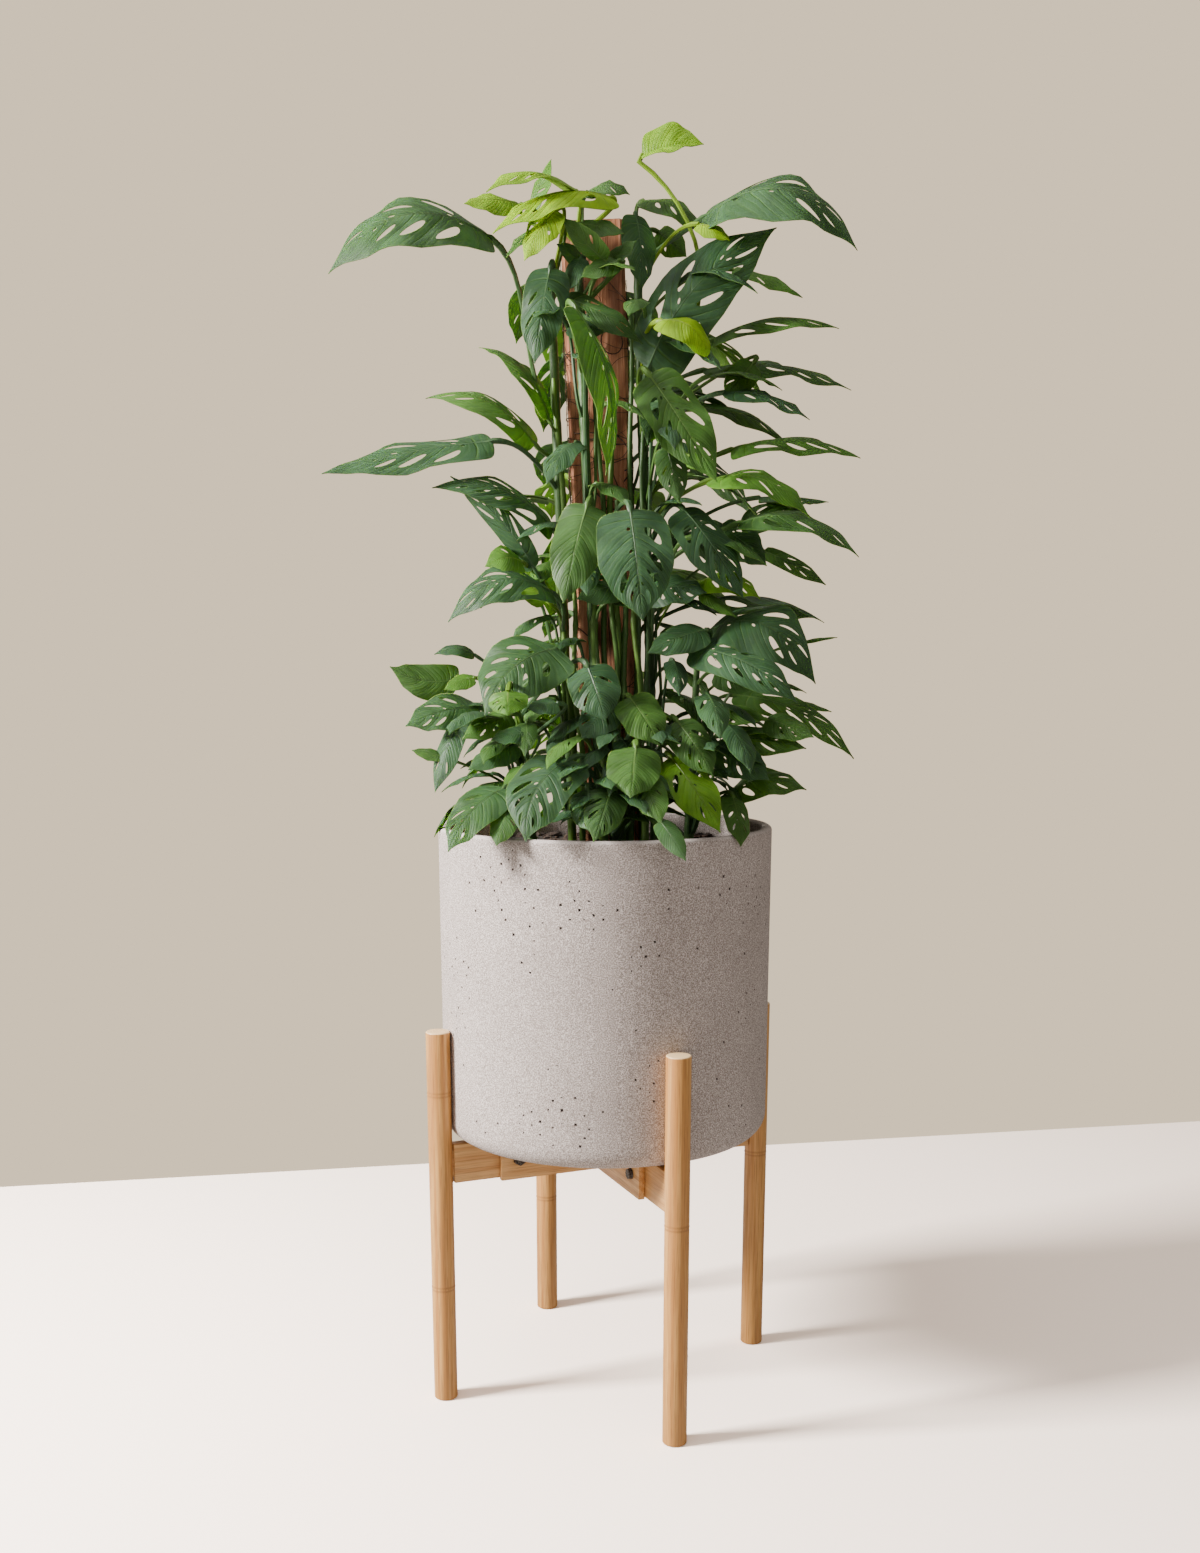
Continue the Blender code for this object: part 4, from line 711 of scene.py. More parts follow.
@dataclass(frozen=True)
class BladeFinish:
    """One side of a leaf's blade: its greens by age, its veins, painted shading between its side veins, and its
    sheen.

    It is drawn in the blade's own coordinates, which count side veins lengthwise and run from 0 at
    the midrib to 1 at the margin. An edge is where a line starts to fade and where it is gone.
    Scales are counts to a metre, and relief and glow_depth are in metres.
    """

    name: str
    greens: Greens
    vein: Colour
    vein_share: float
    roughness: float
    wander_scale: float = 60.0
    wander: float = 0.10
    spread: float = 0.035
    side_edge: Pair = (0.012, 0.065)
    fine_veins: float = 4.0
    fine_edge: Pair = (0.0, 0.30)
    fine_share: float = 0.35
    midrib_edge: Pair = (0.010, 0.045)
    margin_edge: Pair = (0.955, 0.995)
    margin_share: float = 0.7
    net_scale: float = 520.0
    net_edge: Pair = (0.0, 0.12)
    net_share: float = 0.16
    cloud_scale: float = 45.0
    cloud_edge: Pair = (0.3, 0.72)
    cloud_tones: Pair = (0.72, 1.3)
    puffed_shading_edge: Pair = (0.1, 0.5)
    puffed_shading_share: float = 0.28
    grain_scale: float = 900.0
    grain_share: float = 0.25
    sheen_scale: float = 30.0
    sheen_edge: Pair = (0.3, 0.7)
    sheen_span: Pair = (-0.06, 0.08)
    shine: float = 0.16
    glow: float = 0.65
    glow_depth: float = 0.003
    glow_colour: Colour = (0.75, 1.0, 0.35)
    relief: float = 0.00035

    def build(self) -> Material:
        """Return the material."""
        draw = Sketch(self.name)
        where = draw.place()
        along, side, _ = draw.parts(draw.node("UVMap", {}, uv_map="blade").outputs[0])
        across = draw.math("ABSOLUTE", side)
        centred = draw.math("SUBTRACT", draw.noise(where, self.wander_scale))
        wander = draw.math("MULTIPLY", centred, self.wander)
        row = draw.math("PINGPONG", draw.math("ADD", along, wander), 0.5)
        thin = draw.math("ADD", row, draw.math("MULTIPLY", across, self.spread))
        side_vein = draw.span(thin, *self.side_edge, 1.0, 0.0)
        fine_row = draw.math("PINGPONG", draw.math("MULTIPLY", along, self.fine_veins), 0.5)
        fine_vein = draw.span(fine_row, *self.fine_edge, self.fine_share, 0.0)
        midrib = draw.span(across, *self.midrib_edge, 1.0, 0.0)
        margin = draw.span(across, *self.margin_edge, 0.0, self.margin_share)
        cells = draw.cells(where, self.net_scale, "DISTANCE_TO_EDGE")
        net = draw.span(cells, *self.net_edge, self.net_share, 0.0)
        cloud = draw.span(draw.noise(where, self.cloud_scale, 4.0), *self.cloud_edge, *self.cloud_tones)
        clouds = draw.node("CombineColor", {0: cloud, 1: cloud, 2: cloud}).outputs[0]
        green = draw.mix(1.0, self.greens.by_tone(draw), clouds, "MULTIPLY")
        # Painted shading: between the side veins, where the blade puffs up, the green is pulled halfway to the
        # grown green.
        puffed_shading = draw.math("MULTIPLY", draw.span(row, *self.puffed_shading_edge), self.puffed_shading_share)
        green = draw.mix(puffed_shading, green, draw.mix(0.5, green, self.greens.grown))
        pale = draw.mix(0.5, self.vein, draw.mix(0.35, green, self.vein))
        lines = draw.math("MAXIMUM", draw.math("MAXIMUM", side_vein, midrib), margin)
        lines = draw.math("MAXIMUM", lines, draw.math("MAXIMUM", fine_vein, net))
        colour = draw.mix(draw.math("MULTIPLY", lines, self.vein_share), green, pale)
        grain = draw.math("MULTIPLY", draw.noise(where, self.grain_scale), self.grain_share)
        height = draw.math("SUBTRACT", grain, draw.math("MAXIMUM", side_vein, fine_vein))
        sheen = (self.roughness + change for change in self.sheen_span)
        rough = draw.span(draw.noise(where, self.sheen_scale), *self.sheen_edge, *sheen)
        draw.fix({"Specular IOR Level": self.shine, "Subsurface Weight": self.glow})
        draw.fix({"Subsurface Radius": self.glow_colour, "Subsurface Scale": self.glow_depth})
        return draw.finish(colour, rough, height, self.relief)


@dataclass(frozen=True)
class StalkFinish:
    """Stalks and midribs, from blue-green on old leaves to yellow-green on young ones."""

    name: str = "stalk_green"
    greens: Greens = Greens(
        (0.034, 0.086, 0.034), (0.060, 0.138, 0.022), (0.095, 0.190, 0.012), (0.180, 0.295, 0.010)
    )
    streak: Colour = (0.090, 0.150, 0.030)
    fleck: Colour = (0.150, 0.190, 0.070)
    length: float = 0.12
    streak_scale: float = 700.0
    fleck_scale: float = 420.0
    roughness: float = 0.45
    shine: float = 0.35
    relief: float = 0.0003

    def build(self) -> Material:
        """Return the material."""
        draw = Sketch(self.name)
        streaks = draw.noise(draw.place((1.0, 1.0, self.length)), self.streak_scale)
        streaks = draw.span(streaks, 0.35, 0.7, 0.0, 0.35)
        colour = draw.mix(streaks, self.greens.by_tone(draw), self.streak)
        flecks = draw.span(draw.noise(draw.place(), self.fleck_scale), 0.62, 0.70, 0.0, 0.45)
        draw.fix({"Specular IOR Level": self.shine})
        return draw.finish(draw.mix(flecks, colour, self.fleck), self.roughness, streaks, self.relief)


@dataclass(frozen=True)
class StoneFinish:
    """The pot's warm grey cast stone: a fine speckle, painted shade in its pits, a painted highlight on the rim.
    """

    name: str = "cast_stone"
    base: Colour = (0.400, 0.338, 0.310)
    light: Colour = (0.760, 0.675, 0.640)
    dark: Colour = (0.185, 0.148, 0.130)
    pit: Colour = (0.030, 0.021, 0.017)
    grain_scale: float = 1050.0
    cloud_scale: float = 14.0
    rim_z: float = 0.539
    rim_highlight: Pair = (-0.0032, -0.0012)
    roughness: float = 0.82
    relief: float = 0.0004

    def build(self) -> Material:
        """Return the material."""
        draw = Sketch(self.name)
        where = draw.place()
        grain = draw.noise(where, self.grain_scale, 2.0)
        cloud = draw.span(draw.noise(where, self.cloud_scale, 4.0), 0.3, 0.7, 0.0, 0.16)
        colour = draw.mix(draw.span(grain, 0.51, 0.62, 0.0, 0.88), self.base, self.light)
        colour = draw.mix(draw.span(grain, 0.37, 0.47, 0.72, 0.0), colour, self.dark)
        colour = draw.mix(cloud, colour, self.dark)
        # Painted shade: the pits' floors, marked on the pot, are darkened almost to black.
        colour = draw.mix(draw.marked("pit"), colour, self.pit)
        # Painted highlight: the top few millimetres of the pot, rim and all, are blended halfway to the light
        # colour.
        start, end = (self.rim_z + below for below in self.rim_highlight)
        colour = draw.mix(draw.span(draw.parts(where)[2], start, end, 0.0, 0.5), colour, self.light)
        return draw.finish(colour, self.roughness, grain, self.relief)


@dataclass(frozen=True)
class BarkFinish:
    """The soil's dark crumb and the chips of bark on it."""

    name: str
    dark: Colour
    light: Colour
    crumb_scale: float = 320.0
    patch_scale: float = 70.0
    roughness: float = 0.93
    relief: float = 0.002

    def build(self) -> Material:
        """Return the material."""
        draw = Sketch(self.name)
        where = draw.place()
        crumb = draw.noise(where, self.crumb_scale, 5.0)
        patch = draw.noise(where, self.patch_scale, 2.0)
        share = draw.math("MULTIPLY", draw.span(crumb, 0.4, 0.7), draw.span(patch, 0.35, 0.7, 0.2, 1.0))
        return draw.finish(draw.mix(share, self.dark, self.light), self.roughness, crumb, self.relief)


@dataclass(frozen=True)
class TimberFinish:
    """The rough reddish plank, with grain, cracks and darker weathered patches."""

    name: str = "rough_timber"
    base: Colour = (0.430, 0.168, 0.080)
    light: Colour = (0.620, 0.290, 0.165)
    dark: Colour = (0.120, 0.040, 0.022)
    grain_scale: float = 420.0
    patch_scale: float = 38.0
    crack_scale: float = 150.0
    roughness: float = 0.88
    relief: float = 0.0012

    def build(self) -> Material:
        """Return the material."""
        draw = Sketch(self.name)
        along = draw.place((1.0, 1.0, 0.045))
        grain = draw.noise(along, self.grain_scale, 6.0, 0.6)
        patch = draw.noise(draw.place((1.0, 1.0, 0.45)), self.patch_scale, 5.0)
        crack = draw.span(draw.noise(along, self.crack_scale, 3.0, 1.2), 0.30, 0.40, 0.75, 0.0)
        colour = draw.mix(draw.span(grain, 0.38, 0.66), self.base, self.light)
        colour = draw.mix(draw.span(patch, 0.52, 0.68, 0.0, 0.6), colour, self.dark)
        colour = draw.mix(crack, colour, self.dark)
        return draw.finish(colour, self.roughness, draw.math("SUBTRACT", grain, crack), self.relief)


@dataclass(frozen=True)
class BambooFinish:
    """Clear-lacquered bamboo with straight fibres along one direction.

    turn is the direction of a lying piece, and upright says that the fibres run along Z instead.
    """

    name: str
    turn: float = 0.0
    upright: bool = False
    # Painted light: the lying pieces in the pot's shade keep these colours, which are lighter than the legs' own.
    base: Colour = (0.590, 0.285, 0.088)
    light: Colour = (0.750, 0.425, 0.160)
    dark: Colour = (0.310, 0.125, 0.032)
    end: Colour = (0.800, 0.560, 0.300)
    top: float = 0.358
    end_depth: Pair = (-0.0014, -0.0004)
    fibre_scale: float = 1500.0
    strip_scale: float = 260.0
    cloud_scale: float = 45.0
    bundle_scale: float = 900.0
    roughness: float = 0.45
    coat: float = 0.15
    coat_roughness: float = 0.35
    relief: float = 0.00012

    def along(self, draw: Sketch, share: float) -> Socket:
        """Return coordinates that are stretched along the fibres to a share of their length."""
        scale = (1.0, 1.0, share) if self.upright else (share, 1.0, 1.0)
        return draw.place(scale, self.turn)

    def build(self) -> Material:
        """Return the material."""
        draw = Sketch(self.name)
        fibre = draw.noise(self.along(draw, 0.02), self.fibre_scale, 3.0)
        strip = draw.noise(self.along(draw, 0.02), self.strip_scale, 2.0)
        cloud = draw.noise(self.along(draw, 0.10), self.cloud_scale, 3.0)
        colour = draw.mix(draw.span(strip, 0.35, 0.68), self.base, self.light)
        colour = draw.mix(draw.span(fibre, 0.36, 0.50, 0.55, 0.0), colour, self.dark)
        colour = draw.mix(draw.span(cloud, 0.50, 0.75, 0.0, 0.22), colour, self.dark)
        colour = draw.mix(draw.math("MULTIPLY", draw.marked("ring"), 0.55), colour, self.dark)
        if self.upright:
            bundles = draw.span(draw.cells(draw.place(), self.bundle_scale), 0.10, 0.34, 0.45, 0.0)
            start, end = (self.top + below for below in self.end_depth)
            at_end = draw.span(draw.parts(draw.place())[2], start, end)
            colour = draw.mix(at_end, colour, draw.mix(bundles, self.end, self.dark))
        draw.fix({"Coat Weight": self.coat, "Coat Roughness": self.coat_roughness})
        return draw.finish(colour, self.roughness, fibre, self.relief)


@dataclass(frozen=True)
class SteelFinish:
    """Dark burnished steel with lighter, smoother worn patches."""

    name: str = "dark_steel"
    dark: Colour = (0.055, 0.048, 0.042)
    worn: Colour = (0.19, 0.17, 0.15)
    scale: float = 900.0
    roughness: Pair = (0.5, 0.33)
    relief: float = 0.00005

    def build(self) -> Material:
        """Return the material."""
        draw = Sketch(self.name)
        worn = draw.span(draw.noise(draw.place(), self.scale), 0.45, 0.7)
        draw.fix({"Metallic": 1.0})
        rough = draw.span(worn, 0.0, 1.0, *self.roughness)
        return draw.finish(draw.mix(worn, self.dark, self.worn), rough, worn, self.relief)


@dataclass(frozen=True)
class RootFinish:
    """Thin clinging roots, dark brown and dry."""

    name: str = "dry_root"
    dark: Colour = (0.030, 0.017, 0.010)
    light: Colour = (0.120, 0.060, 0.032)
    scale: float = 260.0
    roughness: float = 0.85
    relief: float = 0.0004

    def build(self) -> Material:
        """Return the material."""
        draw = Sketch(self.name)
        tint = draw.noise(draw.place(), self.scale, 3.0)
        colour = draw.mix(draw.span(tint, 0.35, 0.7), self.dark, self.light)
        return draw.finish(colour, self.roughness, tint, self.relief)


@dataclass(frozen=True)
class BladePattern:
    """Where a blade's side veins leave its midrib, and how often there are holes between them.

    first and pitch are shares of the blade's length, and veins is how many there are a side.
    holes and dots are the chances of a long hole and of a small one beside the midrib. finer is
    how often the blade's faces are halved.
    """

    first: float
    pitch: float
    veins: int
    holes: float
    dots: float
    finer: int = 2

    def rows(self) -> list[float]:
        """Return the lengthwise places of the pattern's lines, from base to tip."""
        inner = [self.first + self.pitch * i for i in range(self.veins)]
        return [0.0, self.first * 0.45, *inner, (inner[-1] + 1.0) / 2, 1.0]


PATTERNS: dict[Kind, BladePattern] = {
    LARGE: BladePattern(0.11, 0.165, 5, 0.88, 0.50),
    MEDIUM: BladePattern(0.13, 0.197, 4, 0.62, 0.30),
    SMALL: BladePattern(0.18, 0.22, 3, 0.45, 0.12, 1),
    SOLID: BladePattern(0.13, 0.197, 4, 0.0, 0.0),
    TINY: BladePattern(0.18, 0.22, 3, 0.0, 0.0, 1),
}


@dataclass
class BladeCutter:
    """Makes the flat blades that all leaves are bent from, with their holes cut.

    half is the flat blade's half breadth as a share of its length, and columns are the places of
    its lines across one half. Small holes lie between the second and the third of them, and long
    ones between the third and the fourth.
    """

    half: float = 0.26
    columns: tuple[float, ...] = (0.0, 0.055, 0.20, 0.88, 1.0)
    hole_width: Pair = (0.058, 0.100)
    hole_start: Pair = (0.23, 0.34)
    hole_end: Pair = (0.68, 0.85)
    hole_shift: float = 0.007
    hole_lean: Pair = (-0.006, 0.018)
    hole_taper: Pair = (0.50, 0.95)
    dot_width: Pair = (0.022, 0.040)
    dot_shift: float = 0.03
    cell_reach: float = 0.015
    inset: float = 0.004
    variants: int = 7
    seed: int = 7

    def build(self) -> dict[Kind, list[Flat]]:
        """Cut every kind of blade in its variants.

        Returns:
            The flat blades' meshes of each kind.
        """
        draw = random.Random(self.seed)
        return {
            kind: [self.flat_blade(pattern, draw) for _ in range(self.variants)]
            for kind, pattern in PATTERNS.items()
        }

    def flat_blade(self, pattern: BladePattern, draw: random.Random) -> Flat:
        """Cut one flat blade.

        Args:
            pattern: The blade's veins and holes.
            draw: The source of its small differences.

        Returns:
            The blade's mesh, with its length along X from 0 to 1 and its breadth along Y.
        """
        rows = pattern.rows()
        across = [-c for c in reversed(self.columns[1:])] + list(self.columns)
        bpy.ops.mesh.primitive_grid_add(
            x_subdivisions=len(rows) - 1, y_subdivisions=len(across) - 1, size=2.0
        )
        blade = bpy.context.object
        for vert in blade.data.vertices:
            column = round((vert.co.x + 1.0) / 2.0 * (len(rows) - 1))
            line = round((vert.co.y + 1.0) / 2.0 * (len(across) - 1))
            vert.co = (rows[column], across[line] * self.half, 0.0)
        start_edit(blade, "FACE")
        for cell in range(pattern.veins - 1):
            length = pattern.first + pattern.pitch * (cell + 0.5)
            for side in (-1, 1):
                if draw.random() < pattern.holes:
                    self.cut_long(blade, length, side, draw)
                if draw.random() < pattern.dots:
                    self.cut_dot(blade, length, side, draw)
        end_edit()
        finer = blade.modifiers.new("Finer", "SUBSURF")
        finer.levels = pattern.finer
        finer.render_levels = pattern.finer
        finer.boundary_smooth = "PRESERVE_CORNERS"
        apply_all(blade)
        mesh = blade.data
        bpy.data.objects.remove(blade)
        self.write_uv(mesh, pattern)
        return mesh

    def open_cell(self, blade: Thing, centre: Vector, corner: Callable[[Vector], Vector]) -> None:
        """Open a hole in one cell of the flat blade.

        Args:
            blade: The flat blade in edit mode.
            centre: The cell's centre.
            corner: Moves a corner of the cell to the hole's own.
        """
        pick(blade, "faces", lambda face: (face.calc_center_median() - centre).length < self.cell_reach)
        bpy.ops.mesh.inset(thickness=self.inset)
        move_picked(blade, corner)
        bpy.ops.mesh.delete(type="FACE")

    def cut_long(self, blade: Thing, length: float, side: int, draw: random.Random) -> None:
        """Open a long hole between two side veins.

        Args:
            blade: The flat blade in edit mode.
            length: The middle between the veins.
            side: -1 or 1 for the side of the midrib.
            draw: The source of the hole's size.
        """
        middle = (self.columns[2] + self.columns[3]) / 2 * self.half
        width = draw.uniform(*self.hole_width)
        start, end = draw.uniform(*self.hole_start), draw.uniform(*self.hole_end)
        shift = draw.uniform(-self.hole_shift, self.hole_shift)
        lean = draw.uniform(*self.hole_lean)
        taper = draw.uniform(*self.hole_taper)

        def corner(place: Vector) -> Vector:
            """Move one corner of the cell to the hole's own."""
            far = abs(place.y) > middle
            ahead = math.copysign(width / 2, place.x - length)
            x = length + shift + (lean + ahead if far else ahead * taper)
            return Vector((x, side * (end if far else start) * self.half, 0.0))

        self.open_cell(blade, Vector((length, side * middle, 0.0)), corner)

    def cut_dot(self, blade: Thing, length: float, side: int, draw: random.Random) -> None:
        """Open a small hole beside the midrib.

        Args:
            blade: The flat blade in edit mode.
            length: The middle between two side veins.
            side: -1 or 1 for the side of the midrib.
            draw: The source of the hole's size.
        """
        middle = (self.columns[1] + self.columns[2]) / 2 * self.half
        width = draw.uniform(*self.dot_width)
        shift = draw.uniform(-self.dot_shift, self.dot_shift)

        def corner(place: Vector) -> Vector:
            """Move one corner of the cell to the hole's own."""
            x = length + shift + math.copysign(width / 2, place.x - length)
            return Vector((x, place.y, 0.0))

        self.open_cell(blade, Vector((length, side * middle, 0.0)), corner)

    def write_uv(self, mesh: Flat, pattern: BladePattern) -> None:
        """Write the blade's own coordinates: veins counted from the base, and the place across.

        Args:
            mesh: The flat blade's mesh.
            pattern: The blade's veins and holes.
        """
        places = np.empty(len(mesh.vertices) * 3, np.float32)
        mesh.vertices.foreach_get("co", places)
        places = places.reshape(-1, 3)
        corners = np.empty(len(mesh.loops), np.int32)
        mesh.loops.foreach_get("vertex_index", corners)
        veins = (places[:, 0] - pattern.first) / pattern.pitch
        pairs = np.stack([veins, places[:, 1] / self.half], axis=1)[corners]
        for layer in list(mesh.uv_layers):
            mesh.uv_layers.remove(layer)
        layer = mesh.uv_layers.new(name="blade")
        layer.data.foreach_set("uv", pairs.astype(np.float32).ravel())


@dataclass
class BladeForm:
    """The surface that a leaf's blade follows, as in the solids, with finer waves on it.

    The fields from slant to neck are the solids' own shares. What is added: wave and scallop are
    the margin's waves up and sideways, lean is how far the side veins run forward, and drawn_out
    narrows the tip from tip_start on, all as shares. waves is how many waves a side has, apart is
    how far the two sides' waves are out of step, and ripple is a finer wave's share of them. quilt
    and groove are the rise between veins and the midrib's groove in metres, on leaves of
    full_width centimetres or more. phase shifts the waves.
    """

    leaf: Leaf
    phase: float
    wave: float
    fold: float
    slant: float = 0.10
    slant_power: float = 1.3
    lobe: float = 0.10
    lobe_end: float = 0.3
    widest: float = 0.3125
    taper_power: float = 1.1
    neck: float = 0.0012
    breadth: float = 0.98
    scallop: float = 0.018
    lean: float = 0.22
    drawn_out: float = 0.42
    tip_start: float = 0.7
    tip_length: float = 0.3
    waves: float = 2.3
    apart: float = 1.7
    ripple: float = 0.15
    quilt: float = 0.0013
    groove: float = 0.0006
    groove_half: float = 0.06
    full_width: float = 5.0

    def __post_init__(self) -> None:
        """Work out the blade's own directions."""
        self.base = Vector(self.leaf.base) * CENTIMETRE
        run = Vector(self.leaf.tip) * CENTIMETRE - self.base
        self.length = run.length
        self.along = run.normalized()
        facing = direction(*self.leaf.face)
        self.normal = (facing - facing.dot(self.along) * self.along).normalized()
        self.side = self.along.cross(self.normal)

    def start_direction(self) -> Vector:
        """Return the direction in which the midrib leaves the base."""
        slope = 4.0 * (self.leaf.arch * self.normal + self.leaf.bend * self.side)
        return (self.along + slope).normalized()

    def points(self, t: np.ndarray, v: np.ndarray) -> np.ndarray:
        """Bend flat places onto the blade's surface.

        Args:
            t: Places from base to tip, from 0 to 1.
            v: Places across, from -1 to 1.

        Returns:
            The points, one row each.
        """
        part = np.abs(v)
        flat = t
        t = t + self.lean * np.sin(np.pi * t) * part**self.slant_power
        reach = t + self.slant * np.sin(np.pi * t) * part**self.slant_power
        near = np.clip(t / self.lobe_end, 0.0, 1.0)
        reach -= self.lobe * part * np.sin(np.pi * near)
        rest = np.clip(1.0 - t, 0.0, 1.0)
        swell = np.sqrt(np.clip(t, 0.0, 1.0) / self.widest)
        swell = swell * (rest / (1.0 - self.widest)) ** self.taper_power
        swell *= 1.0 - self.drawn_out * np.clip((t - self.tip_start) / self.tip_length, 0.0, 1.0)
        half = np.maximum(swell * self.leaf.width * HALF_CENTIMETRE, self.neck / 2) * (rest > 1e-6)
        bow = 4.0 * reach * (1.0 - reach) * self.length
        lift = self.leaf.arch * bow - self.fold * half * part
        turn = 2.0 * np.pi * (self.waves * t + self.phase) + self.apart * np.sign(v)
        lift += self.wave * half * part**2 * (np.sin(turn) + self.ripple * np.sin(self.waves * turn))
        pattern = PATTERNS[self.leaf.kind]
        beat = np.pi * (flat - pattern.first) / pattern.pitch
        size = min(1.0, self.leaf.width / self.full_width)
        raised = np.abs(np.sin(beat)) * np.sin(np.pi * np.clip(part, 0.0, 1.0)) * np.sin(np.pi * t)
        lift += self.quilt * size * raised
        sunk = np.exp(-((v / self.groove_half) ** 2)) * np.sin(np.pi * np.clip(t, 0.0, 1.0))
        lift -= self.groove * size * sunk
        shift = v * half * (self.breadth + self.scallop * part**2 * np.cos(2.0 * beat + self.phase))
        shift += self.leaf.bend * bow
        places = np.array(self.base)[None, :] + np.outer(reach * self.length, np.array(self.along))
        places += np.outer(shift, np.array(self.side)) + np.outer(lift, np.array(self.normal))
        return places


@dataclass
class LeafyStem:
    """A stem with its leaves: a ringed stem, stalks that run on as midribs, and holed blades.

    Lengths are metres. Fields that start with bare are those of the old stems beside it, with ring
    those of the swollen rings, with knee those of a stalk's swelling at the blade, and with ridge
    those of the midrib.
    """

    name: str
    stem: Stem
    leaves: tuple[Leaf, ...]
    axis: Vector
    soil_z: float = 0.517
    upright: float = 0.012
    buried: float = 0.035
    radius: float = 0.004
    steps: int = 90
    top_gap: float = 0.003
    thinner: float = 0.4
    thin_length: float = 0.06
    ring_half: float = 0.004
    ring_share: float = 0.16
    stem_tone: float = 0.18
    bare_share: Pair = (0.80, 1.15)
    bare_steps: int = 60
    bare_thinner: float = 0.45
    bare_ring_half: float = 0.003
    bare_ring_share: float = 0.22
    bare_ring_gap: Pair = (0.045, 0.065)
    bare_tone: Pair = (0.1, 0.6)
    wander: float = 0.0022
    wander_back: float = 0.4
    wander_waves: Pair = (14.0, 19.0)
    phases: Pair = (0.0, 6.3)
    stalk_radius: float = 0.0020
    stalk_least: float = 0.45
    stalk_width: float = 8.0
    stalk_foot: float = 0.25
    stalk_foot_steps: int = 4
    stalk_drop: float = 0.55
    stalk_start: float = 0.34
    stalk_end: float = 0.35
    bowed_knee: Place = (-0.0025, 0.0, -0.0050)
    bowed_start: Place = (0.55, 0.0, -0.35)
    knee: float = 1.35
    knee_shares: Place = (0.5, 1.0, 0.9)
    ridge: Pair = (0.03, 0.93)
    ridge_steps: int = 14
    ridge_share: float = 0.72
    ridge_power: float = 0.8
    ridge_least: float = 0.05
    ridge_sunk: float = 0.55
    thick: float = 0.0005
    tone_spread: float = 0.14
    fold_spread: Pair = (-0.07, 0.12)
    waves: Pair = (0.05, 0.14)
    samples: int = 12
    seed: int = 3

    def stem_point(self, height: float) -> Vector:
        """Return the stem's centre at a height, as in the solids.

        Args:
            height: The height in metres.

        Returns:
            The centre, about the pot's axis.
        """
        low = self.soil_z + self.upright
        top = self.stem.top[2] * CENTIMETRE
        share = max(0.0, (height - low) / (top - low))
        foot = Vector(self.stem.foot) * CENTIMETRE
        flat = foot.lerp(Vector(self.stem.top[:2]) * CENTIMETRE, share)
        return Vector((flat.x, flat.y, height))

    def joint_point(self, leaf: Leaf) -> Vector:
        """Return where a leaf's stalk leaves the stem, as in the solids.

        Args:
            leaf: The leaf.

        Returns:
            The point, about the pot's axis.
        """
        base = Vector(leaf.base) * CENTIMETRE
        if leaf.joint:
            return self.stem_point(leaf.joint * CENTIMETRE)
        flat = base.to_2d() - self.stem_point(base.z).to_2d()
        top = self.stem.top[2] * CENTIMETRE - self.top_gap
        height = base.z - self.stalk_drop * flat.length
        return self.stem_point(min(max(height, self.soil_z + self.upright), top))

    def stalk_points(self, leaf: Leaf, form: BladeForm) -> list[Vector]:
        """Return points along a stalk, from the stem to the blade's base.

        Args:
            leaf: The leaf.
            form: Its blade's surface.

        Returns:
            The points, about the pot's axis.
        """
        joint = self.joint_point(leaf)
        span = (form.base - joint).length
        out = (form.base - joint).to_2d().normalized()
        lift = Vector((out.x, out.y, 1.0)).normalized()
        start = form.base
        first = start - form.start_direction() * span * self.stalk_start
        second = joint + lift * span * self.stalk_end
        if leaf.bow:
            start = start + Vector(self.bowed_knee)
            first = start + Vector(self.bowed_start) * leaf.bow * CENTIMETRE
            second = second + Vector((leaf.bow * CENTIMETRE, 0.0, 0.0))
        shares = (1.0 - i / self.samples for i in range(self.samples + 1))
        points = [
            start * (1 - s) ** 3 + first * 3 * s * (1 - s) ** 2 + second * 3 * s * s * (1 - s) + joint * s**3
            for s in shares
        ]
        return points + [form.base] if leaf.bow else points

    def tube(self, points: list[Vector], radii: list[float], rough: int = 2) -> Thing:
        """Make a closed tube through points.

        Args:
            points: The points of its centre line.
            radii: Its radius at each of them.
            rough: How finely it is rounded.

        Returns:
            The tube as a mesh object.
        """
        data = start_wires("tube", rough)
        add_wire(data, [point + self.axis for point in points], radii)
        made = end_wires(data)
        clean(made, turn_out=True)
        return made

    def make_stem(self) -> Thing:
        """Return the stem, swollen in a ring where each stalk leaves it."""
        low = self.soil_z - self.buried
        top = self.stem.top[2] * CENTIMETRE
        joints = sorted(self.joint_point(leaf).z for leaf in self.leaves)
        heights = [low + (top - low) * i / self.steps for i in range(self.steps + 1)]
        radii = []
        for height in heights:
            rings = (math.exp(-(((height - joint) / self.ring_half) ** 2)) for joint in joints)
            swell = max(rings, default=0)
            taper = 1.0 - self.thinner * max(0.0, (height - top + self.thin_length) / self.thin_length)
            radii.append(self.radius * taper * (1.0 + self.ring_share * swell))
        made = self.tube([self.stem_point(height) for height in heights], radii, rough=4)
        mark(made, "tone", self.stem_tone)
        return made

